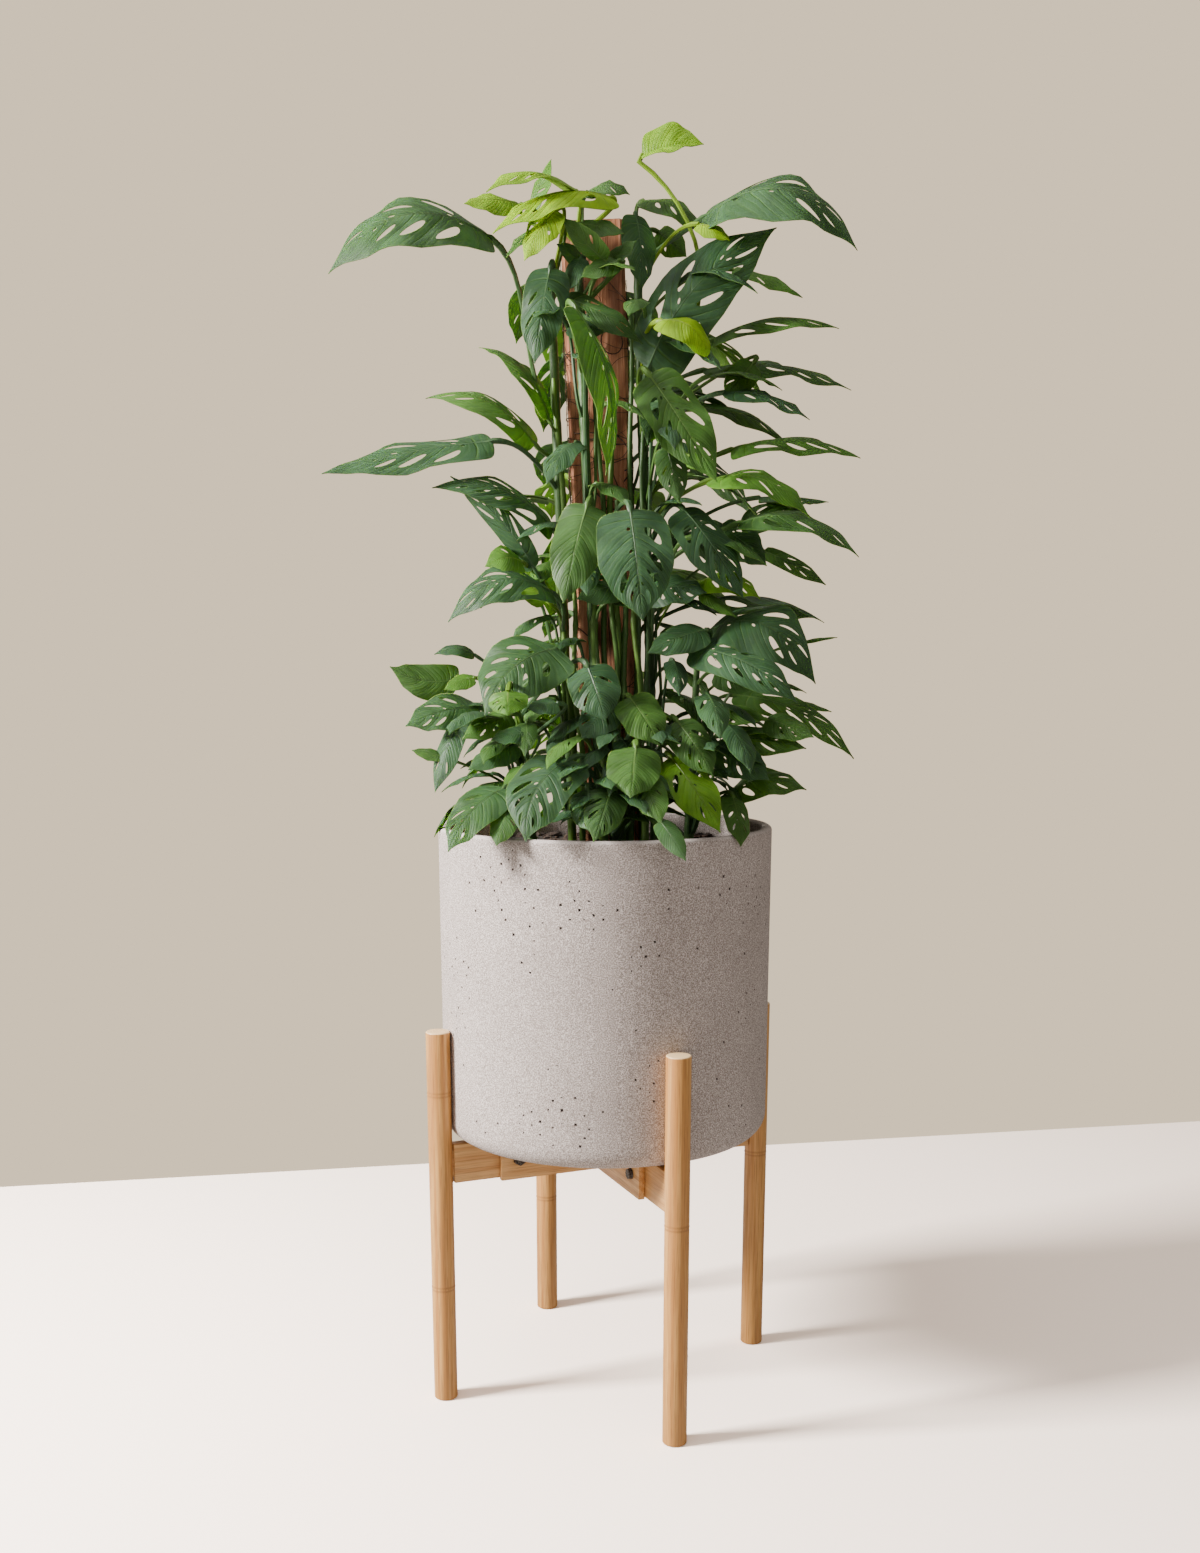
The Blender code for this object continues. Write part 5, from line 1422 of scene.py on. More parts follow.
    def make_bare_stem(self, stem: Stem, draw: random.Random) -> Thing:
        """Make an old bare stem that climbs beside the main one.

        Args:
            stem: Its foot and its top.
            draw: The source of its wander and thickness.

        Returns:
            The stem.
        """
        low = self.soil_z - self.buried
        top = stem.top[2] * CENTIMETRE
        foot = Vector((*stem.foot, 0.0)) * CENTIMETRE
        head = Vector((*stem.top[:2], 0.0)) * CENTIMETRE
        radius = self.radius * draw.uniform(*self.bare_share)
        phase = draw.uniform(*self.phases)
        gap = draw.uniform(*self.bare_ring_gap)
        sideways, back = self.wander_waves
        points, radii = [], []
        for i in range(self.bare_steps + 1):
            share = i / self.bare_steps
            place = foot.lerp(head, share) + Vector((0.0, 0.0, low + (top - low) * share))
            place.x += self.wander * math.sin(sideways * share + phase)
            place.y += self.wander * self.wander_back * math.sin(back * share + 2.0 * phase)
            away = (place.z + phase * CENTIMETRE) % gap
            swell = math.exp(-((min(away, gap - away) / self.bare_ring_half) ** 2))
            points.append(place)
            radii.append(radius * (1.0 - self.bare_thinner * share) * (1.0 + self.bare_ring_share * swell))
        made = self.tube(points, radii)
        mark(made, "tone", draw.uniform(*self.bare_tone))
        return made

    def make_stalk(self, leaf: Leaf, form: BladeForm, tone: float) -> Thing:
        """Make a leaf's stalk, which swells at the blade and runs on under it as the midrib.

        Args:
            leaf: The leaf.
            form: Its blade's surface.
            tone: How young its green is.

        Returns:
            The stalk and midrib.
        """
        points = self.stalk_points(leaf, form)
        thin = self.stalk_radius * min(1.0, self.stalk_least + leaf.width / self.stalk_width)
        foot, steps = self.stalk_foot, self.stalk_foot_steps
        radii = [thin * (1.0 + foot - foot * min(1.0, i / steps)) for i in range(len(points))]
        radii[-3:] = [thin * (1.0 + (self.knee - 1.0) * share) for share in self.knee_shares]
        t = np.linspace(*self.ridge, self.ridge_steps)
        for share, place in zip(t, form.points(t, np.zeros_like(t))):
            radius = thin * (self.ridge_share * (1.0 - share) ** self.ridge_power + self.ridge_least)
            points.append(Vector(place) - form.normal * (radius * self.ridge_sunk))
            radii.append(radius)
        made = self.tube(points, radii, rough=1)
        mark(made, "tone", tone)
        return made

    def make_blade(self, flat: Flat, half: float, form: BladeForm, tone: float) -> Thing:
        """Bend a flat blade into its place.

        Args:
            flat: The flat blade.
            half: The flat blade's half breadth.
            form: The surface that it follows.
            tone: How young its green is.

        Returns:
            The blade, as a surface with no thickness yet.
        """
        made = add_object("blade", flat.copy())
        places = np.empty(len(made.data.vertices) * 3, np.float32)
        made.data.vertices.foreach_get("co", places)
        places = places.reshape(-1, 3).astype(float)
        bent = form.points(places[:, 0], places[:, 1] / half) + np.array(self.axis)[None, :]
        made.data.vertices.foreach_set("co", bent.astype(np.float32).ravel())
        made.data.flip_normals()
        mark(made, "tone", tone)
        return made

    def build(self, flats: dict[Kind, list[Flat]], half: float, finishes: list[Material]) -> None:
        """Make the whole leafy stem as one piece.

        Args:
            flats: The flat blades of each kind.
            half: Their half breadth as a share of their length.
            finishes: The upper blade, the under blade, the margin and the stalk.
        """
        draw = random.Random(f"{self.name}{self.seed}")
        blades = []
        stalks = [self.make_stem()]
        stalks += [self.make_bare_stem(stem, draw) for stem in BARE_STEMS.get(self.name, ())]
        for leaf in self.leaves:
            tone = leaf.tone.value + draw.uniform(-self.tone_spread, self.tone_spread)
            tone = min(1.0, max(0.0, tone))
            fold = leaf.fold + draw.uniform(*self.fold_spread)
            form = BladeForm(leaf, phase=draw.random(), wave=draw.uniform(*self.waves), fold=fold)
            blades.append(self.make_blade(draw.choice(flats[leaf.kind]), half, form, tone))
            stalks.append(self.make_stalk(leaf, form, tone))
        sheet = join(blades)
        clean(sheet, turn_out=False)
        dress(sheet, *finishes[:3])
        solid = sheet.modifiers.new("Thickness", "SOLIDIFY")
        solid.thickness = self.thick
        solid.offset = 0.0
        solid.material_offset = 1
        solid.material_offset_rim = 2
        apply_all(sheet)
        for stalk in stalks:
            dress(stalk, finishes[3])
        piece = join([sheet, *stalks])
        smooth(piece, 55.0)
        hand_over(piece, self.name.replace("vine", "leafy_stem"), "foliage", self.name)


def ruled_leaves(rule: LeafRule, stem: LeafyStem) -> tuple[Leaf, ...]:
    """Set leaves round a stem by a rule. Those behind the plank come out as in the solids.

    Args:
        rule: What the leaves fill.
        stem: The stem that they grow from.

    Returns:
        The leaves.
    """
    draw = random.Random(rule.seed)
    leaves = []
    for i in range(rule.count):
        share = (i + 0.5) / rule.count
        low, high = rule.directions
        turn = low + (high - low) * ((i * rule.step) % 1.0)
        low, high = rule.heights
        height = low + (high - low) * share
        reach = draw.uniform(*rule.reach)
        length = draw.uniform(*rule.lengths)
        droop = draw.uniform(*rule.droop)
        base = stem.stem_point(height * CENTIMETRE) / CENTIMETRE + direction(turn, 0.0) * reach
        tip = base + direction(turn + draw.uniform(-rule.swing, rule.swing), droop) * length
        kind = LARGE if length > rule.large else MEDIUM if length > rule.medium else SMALL
        tone = rule.tones[i % len(rule.tones)]
        joint = max(rule.lowest, base.z - draw.uniform(*rule.drops)) if rule.drops else 0.0
        face = (turn, rule.elevation)
        blade = (tuple(base), tuple(tip), length * rule.breadth, face, rule.arch, kind, tone)
        leaves.append(Leaf(*blade, joint=joint))
    return tuple(leaves)


@dataclass
class StonePot:
    """The cast pot: a straight wall, a rounded foot and rim, a drain hole and small open pits."""

    axis: Vector
    radius: float = 0.1525
    wall: float = 0.0085
    floor: float = 0.012
    bottom_z: float = 0.2525
    rim_z: float = 0.539
    foot_round: float = 0.018
    rim_round: float = 0.0038
    heel: float = 0.010
    drain: float = 0.012
    sides: int = 240
    rows: int = 66
    skin: float = 0.001
    ring_reach: float = 0.0004
    clusters: int = 96
    cluster_levels: Pair = (0.285, 0.520)
    cluster_spreads: Pair = (0.006, 0.022)
    cluster_chance: float = 0.34
    lone_chance: float = 0.0060
    pit_levels: Pair = (0.275, 0.530)
    pit_depth: float = 0.0015
    pit_depths: Pair = (0.6, 1.3)
    pit_inset: float = 0.0004
    pit_shares: Pair = (0.34, 0.74)
    pit_corners: Pair = (0.75, 1.15)
    pit_skew: float = 0.0004
    pit_floor: float = 0.7
    seed: int = 19

    def build(self, finish: Material) -> None:
        """Make the pot.

        Args:
            finish: Its material.
        """
        height = self.rim_z - self.bottom_z
        middle = self.axis + Vector((0.0, 0.0, self.bottom_z + height / 2))
        bpy.ops.mesh.primitive_cylinder_add(
            vertices=self.sides, radius=self.radius, depth=height, location=middle
        )
        pot = bpy.context.object
        settle(pot)
        start_edit(pot, "FACE")
        pick(pot, "faces", lambda face: face.normal.z > FACING)
        bpy.ops.mesh.inset(thickness=self.wall)
        bpy.ops.mesh.extrude_region_move(
            TRANSFORM_OT_translate={"value": (0.0, 0.0, -(height - self.floor))}
        )
        self.drill(pot)
        self.round_edges(pot)
        self.divide_wall(pot)
        pits = self.open_pits(pot)
        end_edit()
        # Mark the pits' floors, which the stone's finish paints with shade.
        layer = pot.data.attributes.new("pit", "FLOAT", "POINT")
        for index in pits:
            layer.data[index].value = 1.0
        smooth(pot, 35.0)
        dress(pot, finish)
        hand_over(pot, "stone_pot", "pot_stone", "pot")

    def drill(self, pot: Thing) -> None:
        """Open the drain hole through the floor.

        Args:
            pot: The pot in edit mode.
        """
        top = self.bottom_z + self.floor + self.skin

        def to_hole(spot: Vector) -> Vector:
            """Move one corner of the floor's faces to the hole's edge."""
            flat = (spot - self.axis).to_2d().normalized() * self.drain
            return Vector((self.axis.x + flat.x, self.axis.y + flat.y, spot.z))

        pick(pot, "faces", lambda face: len(face.verts) == self.sides and face.calc_center_median().z < top)
        inner = self.radius - self.wall - self.drain
        bpy.ops.mesh.inset(thickness=inner, use_individual=True)
        move_picked(pot, to_hole)
        bpy.ops.mesh.delete(type="ONLY_FACE")
        pick(pot, "edges", lambda edge: len(edge.link_faces) == 1)
        bpy.ops.mesh.bridge_edge_loops()

    def round_edges(self, pot: Thing) -> None:
        """Round the foot, the rim and the inner heel.

        Args:
            pot: The pot in edit mode.
        """
        inner = self.radius - self.wall
        places = (
            (self.radius, self.bottom_z, self.foot_round, 7),
            (self.radius, self.rim_z, self.rim_round, 4),
            (inner, self.rim_z, self.rim_round, 4),
            (inner, self.bottom_z + self.floor, self.heel, 3),
        )
        for radius, level, offset, segments in places:
            pick(pot, "edges", lambda edge: self.on_ring(edge, radius, level))
            bpy.ops.mesh.bevel(offset=offset, segments=segments, clamp_overlap=False)

    def on_ring(self, edge: bmesh.types.BMEdge, radius: float, level: float) -> bool:
        """Say whether an edge lies on a ring about the pot's axis.

        Args:
            edge: The edge.
            radius: The ring's radius.
            level: The ring's height.

        Returns:
            True if both of its ends lie on the ring.
        """
        gaps = (((v.co - self.axis).to_2d().length - radius, v.co.z - level) for v in edge.verts)
        return all(max(abs(out), abs(up)) < self.ring_reach for out, up in gaps)

    def divide_wall(self, pot: Thing) -> None:
        """Divide the outer wall into small even faces.

        Args:
            pot: The pot in edit mode.
        """
        low = self.bottom_z + self.foot_round + self.skin
        high = self.rim_z - self.rim_round - self.skin
        pick(
            pot,
            "edges",
            lambda edge: min(v.co.z for v in edge.verts) < low
            and max(v.co.z for v in edge.verts) > high
            and (edge.verts[0].co - self.axis).to_2d().length > self.radius - self.skin,
        )
        bpy.ops.mesh.subdivide(number_cuts=self.rows)

    def choose_pits(self, mesh: bmesh.types.BMesh, draw: random.Random) -> list[bmesh.types.BMFace]:
        """Choose faces of the outer wall for pits, more of them in loose clusters, and none side by side.

        Args:
            mesh: The pot's mesh.
            draw: The source of their places.

        Returns:
            The faces.
        """
        spans = ((0.0, FULL_TURN), self.cluster_levels, self.cluster_spreads)
        clusters = [tuple(draw.uniform(*span) for span in spans) for _ in range(self.clusters)]
        low, high = self.pit_levels
        kept = []
        taken: set[int] = set()
        for face in mesh.faces:
            centre = face.calc_center_median()
            flat = (centre - self.axis).to_2d()
            if flat.length < self.radius - self.skin or not low < centre.z < high:
                continue
            angle = math.atan2(flat.y, flat.x)
            chance = self.lone_chance
            for turn, level, spread in clusters:
                gap = (angle - turn + math.pi) % FULL_TURN - math.pi
                away = math.hypot(gap * self.radius, centre.z - level) / spread
                chance = max(chance, self.cluster_chance * math.exp(-away * away))
            if draw.random() >= chance:
                continue
            near = {other.index for edge in face.edges for other in edge.link_faces}
            if not near & taken:
                kept.append(face)
                taken |= near
        return kept

    def open_pits(self, pot: Thing) -> list[int]:
        """Sink small pits into the outer wall.

        Args:
            pot: The pot in edit mode.

        Returns:
            The numbers of the points at the pits' floors.
        """
        draw = random.Random(self.seed)
        mesh = bmesh.from_edit_mesh(pot.data)
        pits = self.choose_pits(mesh, draw)
        bmesh.ops.inset_individual(mesh, faces=pits, thickness=self.pit_inset)
        for face in pits:
            centre = face.calc_center_median()
            share = draw.uniform(*self.pit_shares)
            for vert in face.verts:
                skew = Vector((0.0, 0.0, draw.uniform(-self.pit_skew, self.pit_skew)))
                vert.co = centre + (vert.co - centre) * share * draw.uniform(*self.pit_corners) + skew
        floors = []
        for face in bmesh.ops.extrude_discrete_faces(mesh, faces=pits)["faces"]:
            inward = -face.normal * self.pit_depth * draw.uniform(*self.pit_depths)
            centre = face.calc_center_median()
            for vert in face.verts:
                vert.co = centre + (vert.co - centre) * self.pit_floor + inward
                floors.append(vert)
        mesh.verts.index_update()
        numbers = [vert.index for vert in floors]
        bmesh.update_edit_mesh(pot.data)
        return numbers


@dataclass
class BarkSoil:
    """The chips and crumbs of bark that lie on the soil."""

    axis: Vector
    radius: float = 0.138
    soil_z: float = 0.517
    relief: float = 0.0035
    chips: int = 900
    sizes: Pair = (0.0016, 0.0034)
    large_chance: float = 0.14
    large: float = 2.0
    raised: float = 0.25
    tilt: float = 0.6
    lengths: Pair = (1.0, 2.2)
    heights: Pair = (0.35, 0.8)
    lumps: Pair = (0.7, 1.15)
    turns: Pair = (0.0, 6.3)
    seed: int = 31

    def level(self, x: float, y: float) -> float:
        """Return the height of the soil's surface at a point about the axis, as in the solids."""
        wave = math.sin(61.0 * x + 1.0) * math.cos(53.0 * y) + 0.6 * math.sin(117.0 * y - 95.0 * x)
        return self.soil_z + self.relief * 0.6 * wave

    def build(self, finish: Material, soil_finish: Material) -> None:
        """Strew the chips and dress the soil itself.

        Args:
            finish: The chips' material.
            soil_finish: The soil's material.
        """
        dress(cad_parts["soil"], soil_finish)
        draw = random.Random(self.seed)
        bpy.ops.mesh.primitive_ico_sphere_add(subdivisions=1, radius=1.0)
        lump = bpy.context.object
        whole = bmesh.new()
        for _ in range(self.chips):
            size = draw.uniform(*self.sizes) * (self.large if draw.random() < self.large_chance else 1.0)
            reach = self.radius * math.sqrt(draw.random())
            turn = draw.uniform(0.0, FULL_TURN)
            x, y = reach * math.cos(turn), reach * math.sin(turn)
            spot = self.axis + Vector((x, y, self.level(x, y) + size * self.raised))
            tilt = Matrix.Rotation(draw.uniform(-self.tilt, self.tilt), 4, "X")
            tilt = tilt @ Matrix.Rotation(draw.uniform(*self.turns), 4, "Z")
            length = size * draw.uniform(*self.lengths)
            shape = Matrix.Diagonal((length, size, size * draw.uniform(*self.heights), 1.0))
            start = len(whole.verts)
            whole.from_mesh(lump.data)
            whole.verts.ensure_lookup_table()
            fresh = whole.verts[start:]
            for vert in fresh:
                vert.co = vert.co * draw.uniform(*self.lumps)
            bmesh.ops.transform(whole, matrix=Matrix.Translation(spot) @ tilt @ shape, verts=fresh)
        whole.to_mesh(lump.data)
        whole.free()
        dress(lump, finish)
        hand_over(lump, "bark_chips", "soil_bark")


@dataclass
class ClimbingPlank:
    """The rough plank, with the thin roots that cling to it."""

    axis: Vector
    width: float = 0.054
    depth: float = 0.040
    top: float = 1.046
    buried: float = 0.16
    soil_z: float = 0.517
    lean: float = math.radians(2.25)
    x_at_soil: float = 0.009
    y: float = 0.005
    step: float = 0.006
    columns: int = 16
    rows: int = 11
    at_face: float = 0.999
    at_corner: float = 0.93
    grain_waves: Pair = (260, 9)
    chip_waves: Pair = (40, 34)
    chip_shift: float = 5.0
    chip_least: float = 0.15
    worn: float = 0.0006
    chipped: float = 0.0011
    corner_round: float = 0.0016
    roots: int = 170
    root_step: float = 0.0026
    root_low: float = 0.01
    root_gap: float = 0.06
    root_spread: float = 0.9
    root_swing: float = 0.12
    root_radii: Pair = (0.00025, 0.0007)
    root_steps: tuple[int, int] = (16, 44)
    root_rise: float = 0.0010
    root_wave: float = 0.37
    root_thinner: float = 0.7
    root_sunk: float = 0.4
    swing_kept: float = 0.85
    swing_new: float = 0.09
    seed: int = 41

    def place(self) -> Matrix:
        """Return the matrix from the plank's own frame, with the soil at z = 0, to the model's."""
        spot = self.axis + Vector((self.x_at_soil, self.y, self.soil_z))
        return Matrix.Translation(spot) @ Matrix.Rotation(-self.lean, 4, "Y")

    def build(self, finish: Material) -> None:
        """Make the plank by drawing its section up step by step, then roughen its faces.

        Args:
            finish: Its material.
        """
        height = self.top - self.soil_z + self.buried
        steps = round(height / self.step)
        bpy.ops.mesh.primitive_grid_add(x_subdivisions=self.columns, y_subdivisions=self.rows, size=1.0)
        plank = bpy.context.object
        plank.data.transform(Matrix.Diagonal((self.width, self.depth, 1.0, 1.0)))
        plank.data.transform(Matrix.Translation((0.0, 0.0, -self.buried)))
        start_edit(plank, "FACE")
        bpy.ops.mesh.select_all(action="SELECT")
        for _ in range(steps):
            bpy.ops.mesh.extrude_region_move(
                TRANSFORM_OT_translate={"value": (0.0, 0.0, height / steps)}
            )
        bpy.ops.mesh.select_all(action="SELECT")
        bpy.ops.mesh.normals_make_consistent(inside=False)
        end_edit()
        for vert in plank.data.vertices:
            vert.co += self.roughness(vert.co)
        plank.data.transform(self.place())
        smooth(plank, 38.0)
        dress(plank, finish)
        hand_over(plank, "rough_plank", "plank_wood", "climbing_plank")

    def roughness(self, spot: Vector) -> Vector:
        """Return how far a point of the plank moves in from its flat faces.

        Args:
            spot: The point, in the plank's own frame.

        Returns:
            The move.
        """
        x_share = abs(spot.x) / (self.width / 2)
        y_share = abs(spot.y) / (self.depth / 2)
        inward = Vector((0.0, 0.0, 0.0))
        if max(x_share, y_share) < self.at_face:
            return inward
        wide, high = self.grain_waves
        grain = noise.fractal(Vector((spot.x * wide, spot.y * wide, spot.z * high)), 0.9, 2.0, 4)
        wide, high = self.chip_waves
        chip = noise.noise(Vector((spot.x * wide, spot.y * wide, spot.z * high + self.chip_shift)))
        depth = self.worn + self.worn * grain + self.chipped * max(0.0, chip - self.chip_least)
        if min(x_share, y_share) > self.at_corner:
            depth += self.corner_round + self.corner_round * max(0.0, chip)
        if x_share > self.at_face:
            inward.x = -math.copysign(depth, spot.x)
        if y_share > self.at_face:
            inward.y = -math.copysign(depth, spot.y)
        return inward

    def build_roots(self, finish: Material) -> None:
        """Lay the clinging roots round the plank, as wandering lines on its faces.

        Args:
            finish: Their material.
        """
        draw = random.Random(self.seed)
        data = start_wires("clinging_roots", rough=0)
        place = self.place()
        for _ in range(self.roots):
            along = draw.uniform(0.0, 2 * (self.width + self.depth))
            height = draw.uniform(self.root_low, self.top - self.soil_z - self.root_gap)
            heading = draw.choice((0.0, math.pi)) + draw.uniform(-self.root_spread, self.root_spread)
            swing = draw.uniform(-self.root_swing, self.root_swing)
            thick = draw.uniform(*self.root_radii)
            count = draw.randint(*self.root_steps)
            points, radii = [], []
            for i in range(count):
                rise = self.root_rise * abs(math.sin(i * self.root_wave + along))
                points.append(place @ self.on_face(along, height, thick * self.root_sunk + rise))
                radii.append(thick * (1.0 - self.root_thinner * i / count))
                along += self.root_step * math.cos(heading)
                height = max(0.0, height + self.root_step * math.sin(heading))
                swing = self.swing_kept * swing + draw.uniform(-self.swing_new, self.swing_new)
                heading += swing
            add_wire(data, points, radii)
        made = end_wires(data)
        smooth(made, 60.0)
        dress(made, finish)
        hand_over(made, "clinging_roots", "foliage")

    def on_face(self, along: float, height: float, off: float) -> Vector:
        """Return a point just off the plank's faces.

        Args:
            along: The way round the plank from the front face's left edge.
            height: The height over the soil.
            off: How far the point stands off.

        Returns:
            The point, in the plank's own frame.
        """
        half_w, half_d = self.width / 2, self.depth / 2
        along %= 2 * (self.width + self.depth)
        if along < self.width:
            return Vector((along - half_w, -half_d - off, height))
        along -= self.width
        if along < self.depth:
            return Vector((half_w + off, along - half_d, height))
        along -= self.depth
        if along < self.width:
            return Vector((half_w - along, half_d + off, height))
        along -= self.width
        return Vector((-half_w - off, half_d - along, height))


@dataclass
class BambooStand:
    """The stand: ringed legs, and a cross of slats and sliding arms with dark bolts."""

    axis: Vector
    turn: float = math.radians(22.3)
    gap: float = 0.0003
    leg_radius: float = 0.011
    leg_length: float = 0.358
    pot_radius: float = 0.1525
    slat_top: float = 0.2522
    slat_height: float = 0.040
    slat_thick: float = 0.006
    slat_reach: float = 0.109
    arm_thick: float = 0.012
    arm_height: float = 0.037
    arm_inner: float = 0.034
    tenon: Place = (0.008, 0.008, 0.025)
    bolt_radius: float = 0.003
    bolt_place: float = 0.092
    slot_length: float = 0.050
    slot_shift: float = 0.012
    shoulder: float = 0.0012
    through: float = 0.03
    end_round: float = 0.0015
    arm_round: float = 0.0007
    slat_round: float = 0.0006
    corner: float = 35.0
    rings: tuple[tuple[float, ...], ...] = ((0.205,), (0.126,), (0.112, 0.300), (0.205,))
    ring_step: float = 0.0016
    ring_swell: float = 0.020
    ring_groove: float = -0.012
    sides: tuple[str, ...] = ("right", "back", "left", "front")

    def __post_init__(self) -> None:
        """Work out the height of the cross's middle and how far a slat lies from an arm's middle."""
        self.middle = self.slat_top - self.slat_height / 2
        self.beside = self.arm_thick / 2 + self.gap + self.slat_thick / 2

    def build(self, upright: Material, lying: list[Material], steel: Material) -> None:
        """Make the whole stand.

        Args:
            upright: The legs' bamboo.
            lying: The bamboo of the left-right pieces and of the front-back ones.
            steel: The bolts' and nuts' material.
        """
        for index, side in enumerate(self.sides):
            self.make_leg(side, index, upright)
            self.make_arm(side, index, lying[index % 2])
            for part in ("bolt", "nut"):
                dress(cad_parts[f"{part}_{side}"], steel)
        for index, run in enumerate(("left_right", "front_back")):
            for side, letter in ((-1, "a"), (1, "b")):
                self.make_slat(run, letter, index, side, lying[index])

    def frame_at(self, index: int) -> Matrix:
        """Return the matrix that turns a piece from +X to one of the four directions, from the right leg on."""
        return Matrix.Translation(self.axis) @ Matrix.Rotation(self.turn + index * math.pi / 2, 4, "Z")

    def box(self, size: Place, centre: Place) -> Thing:
        """Add a box by its size and centre.

        Args:
            size: Its length along X, Y and Z.
            centre: Its centre.

        Returns:
            The box.
        """
        bpy.ops.mesh.primitive_cube_add(size=1.0, location=centre, scale=size)
        made = bpy.context.object
        settle(made)
        return made

    def cut(self, thing: Thing, *cutters: Thing) -> None:
        """Cut shapes out of a piece and remove them.

        Args:
            thing: The piece.
            cutters: The shapes.
        """
        for cutter in cutters:
            hole = thing.modifiers.new("Cut", "BOOLEAN")
            hole.operation = "DIFFERENCE"
            hole.object = cutter
            hole.solver = "EXACT"
        apply_all(thing)
        for cutter in cutters:
            bpy.data.objects.remove(cutter)

    def soften(self, thing: Thing, width: float) -> None:
        """Round a piece's edges.

        Args:
            thing: The piece.
            width: The rounding's width.
        """
        edge = thing.modifiers.new("Edge", "BEVEL")
        edge.width = width
        edge.segments = 3
        edge.limit_method = "ANGLE"
        edge.angle_limit = math.radians(self.corner)
        apply_all(thing)

    def complete(self, thing: Thing, index: int, finish: Material, part: str) -> None:
        """Turn a piece to its direction, shade it, dress it and hand it over.

        Args:
            thing: The piece.
            index: Its direction.
            finish: Its material.
            part: The solid that it replaces.
        """
        thing.data.transform(self.frame_at(index))
        smooth(thing, self.corner)
        dress(thing, finish)
        hand_over(thing, f"bamboo_{part}", "bamboo", part)

    def make_leg(self, side: str, index: int, finish: Material) -> None:
        """Make a leg with its mortise, rounded ends and the rings that bamboo grows.

        Args:
            side: Which leg it is.
            index: Its direction.
            finish: Its material.
        """
        circle = self.pot_radius + self.gap + self.leg_radius
        bpy.ops.mesh.primitive_cylinder_add(
            vertices=56, radius=self.leg_radius, depth=self.leg_length, location=(circle, 0.0, self.leg_length / 2)
        )
        leg = bpy.context.object
        settle(leg)
        start_edit(leg, "EDGE")
        pick(leg, "edges", lambda edge: abs(edge.verts[0].co.z - edge.verts[1].co.z) < 1e-6)
        bpy.ops.mesh.bevel(offset=self.end_round, segments=4)
        rings = self.rings[index]
        for height in [ring + step * self.ring_step for ring in rings for step in (-2, -1, 0, 1, 2)]:
            bpy.ops.mesh.select_all(action="SELECT")
            bpy.ops.mesh.bisect(plane_co=(0.0, 0.0, height), plane_no=(0.0, 0.0, 1.0))
        end_edit()
        for vert in leg.data.vertices:
            near = min(abs(vert.co.z - ring) for ring in rings)
            grow = {0: self.ring_swell, 1: self.ring_groove}.get(round(near / self.ring_step), 0.0)
            vert.co.x = circle + (vert.co.x - circle) * (1.0 + grow)
            vert.co.y *= 1.0 + grow
        length, thick, height = self.tenon
        size = (2 * length, thick + 2 * self.gap, height + 2 * self.gap)
        self.cut(leg, self.box(size, (circle - self.leg_radius, 0.0, self.middle)))
        layer = leg.data.attributes.new("ring", "FLOAT", "POINT")
        for vert, mark_at in zip(leg.data.vertices, layer.data):
            near = min(abs(vert.co.z - ring) for ring in rings)
            mark_at.value = 1.0 if round(near / self.ring_step) == 1 else 0.0
        self.complete(leg, index, finish, f"leg_{side}")

    def make_arm(self, side: str, index: int, finish: Material) -> None:
        """Make a slotted arm with its tenon.

        Args:
            side: Which arm it is.
            index: Its direction.
            finish: Its material.
        """
        start, end = self.arm_inner, self.pot_radius
        size = (end - start, self.arm_thick, self.arm_height)
        arm = self.box(size, ((end + start) / 2, 0.0, self.middle))
        length, thick, height = self.tenon

        def to_tenon(spot: Vector) -> Vector:
            """Move one corner of the arm's end face to the tenon's height."""
            return Vector((spot.x, spot.y, self.middle + math.copysign(height / 2, spot.z - self.middle)))

        start_edit(arm, "FACE")
        pick(arm, "faces", lambda face: face.normal.x > FACING)
        bpy.ops.mesh.inset(thickness=(self.arm_thick - thick) / 2)
        move_picked(arm, to_tenon)
        bpy.ops.mesh.extrude_region_move(TRANSFORM_OT_translate={"value": (length - self.shoulder, 0.0, 0.0)})
        end_edit()
        size = (self.slot_length, self.through, 2 * self.bolt_radius + 2 * self.gap)
        self.cut(arm, self.box(size, (self.bolt_place - self.slot_shift, 0.0, self.middle)))
        self.soften(arm, self.arm_round)
        self.complete(arm, index, finish, f"arm_{side}")

    def make_slat(self, run: str, letter: str, index: int, side: int, finish: Material) -> None:
        """Make one slat of the cross, notched where it meets the other pair.

        Args:
            run: Which way it runs.
            letter: Which of the pair it is.
            index: Its direction.
            side: -1 or 1 for the side of the arm that it lies on.
            finish: Its material.
        """
        offset = side * self.beside
        slat = self.box((2 * self.slat_reach, self.slat_thick, self.slat_height), (0.0, offset, self.middle))
        level = self.slat_height / 2 if index == 0 else -self.slat_height / 2
        size = (self.slat_thick + 2 * self.gap, self.through, self.slat_height + 2 * self.gap)
        cutters = [self.box(size, (across * self.beside, offset, self.middle + level)) for across in (-1, 1)]
        for end in (-1, 1):
            bpy.ops.mesh.primitive_cylinder_add(
                vertices=24,
                radius=self.bolt_radius + self.gap,
                depth=0.02,
                location=(end * self.bolt_place, offset, self.middle),
                rotation=(math.pi / 2, 0.0, 0.0),
            )
            hole = bpy.context.object
            settle(hole)
            cutters.append(hole)
        self.cut(slat, *cutters)
        self.soften(slat, self.slat_round)
        self.complete(slat, index, finish, f"slat_{run}_{letter}")


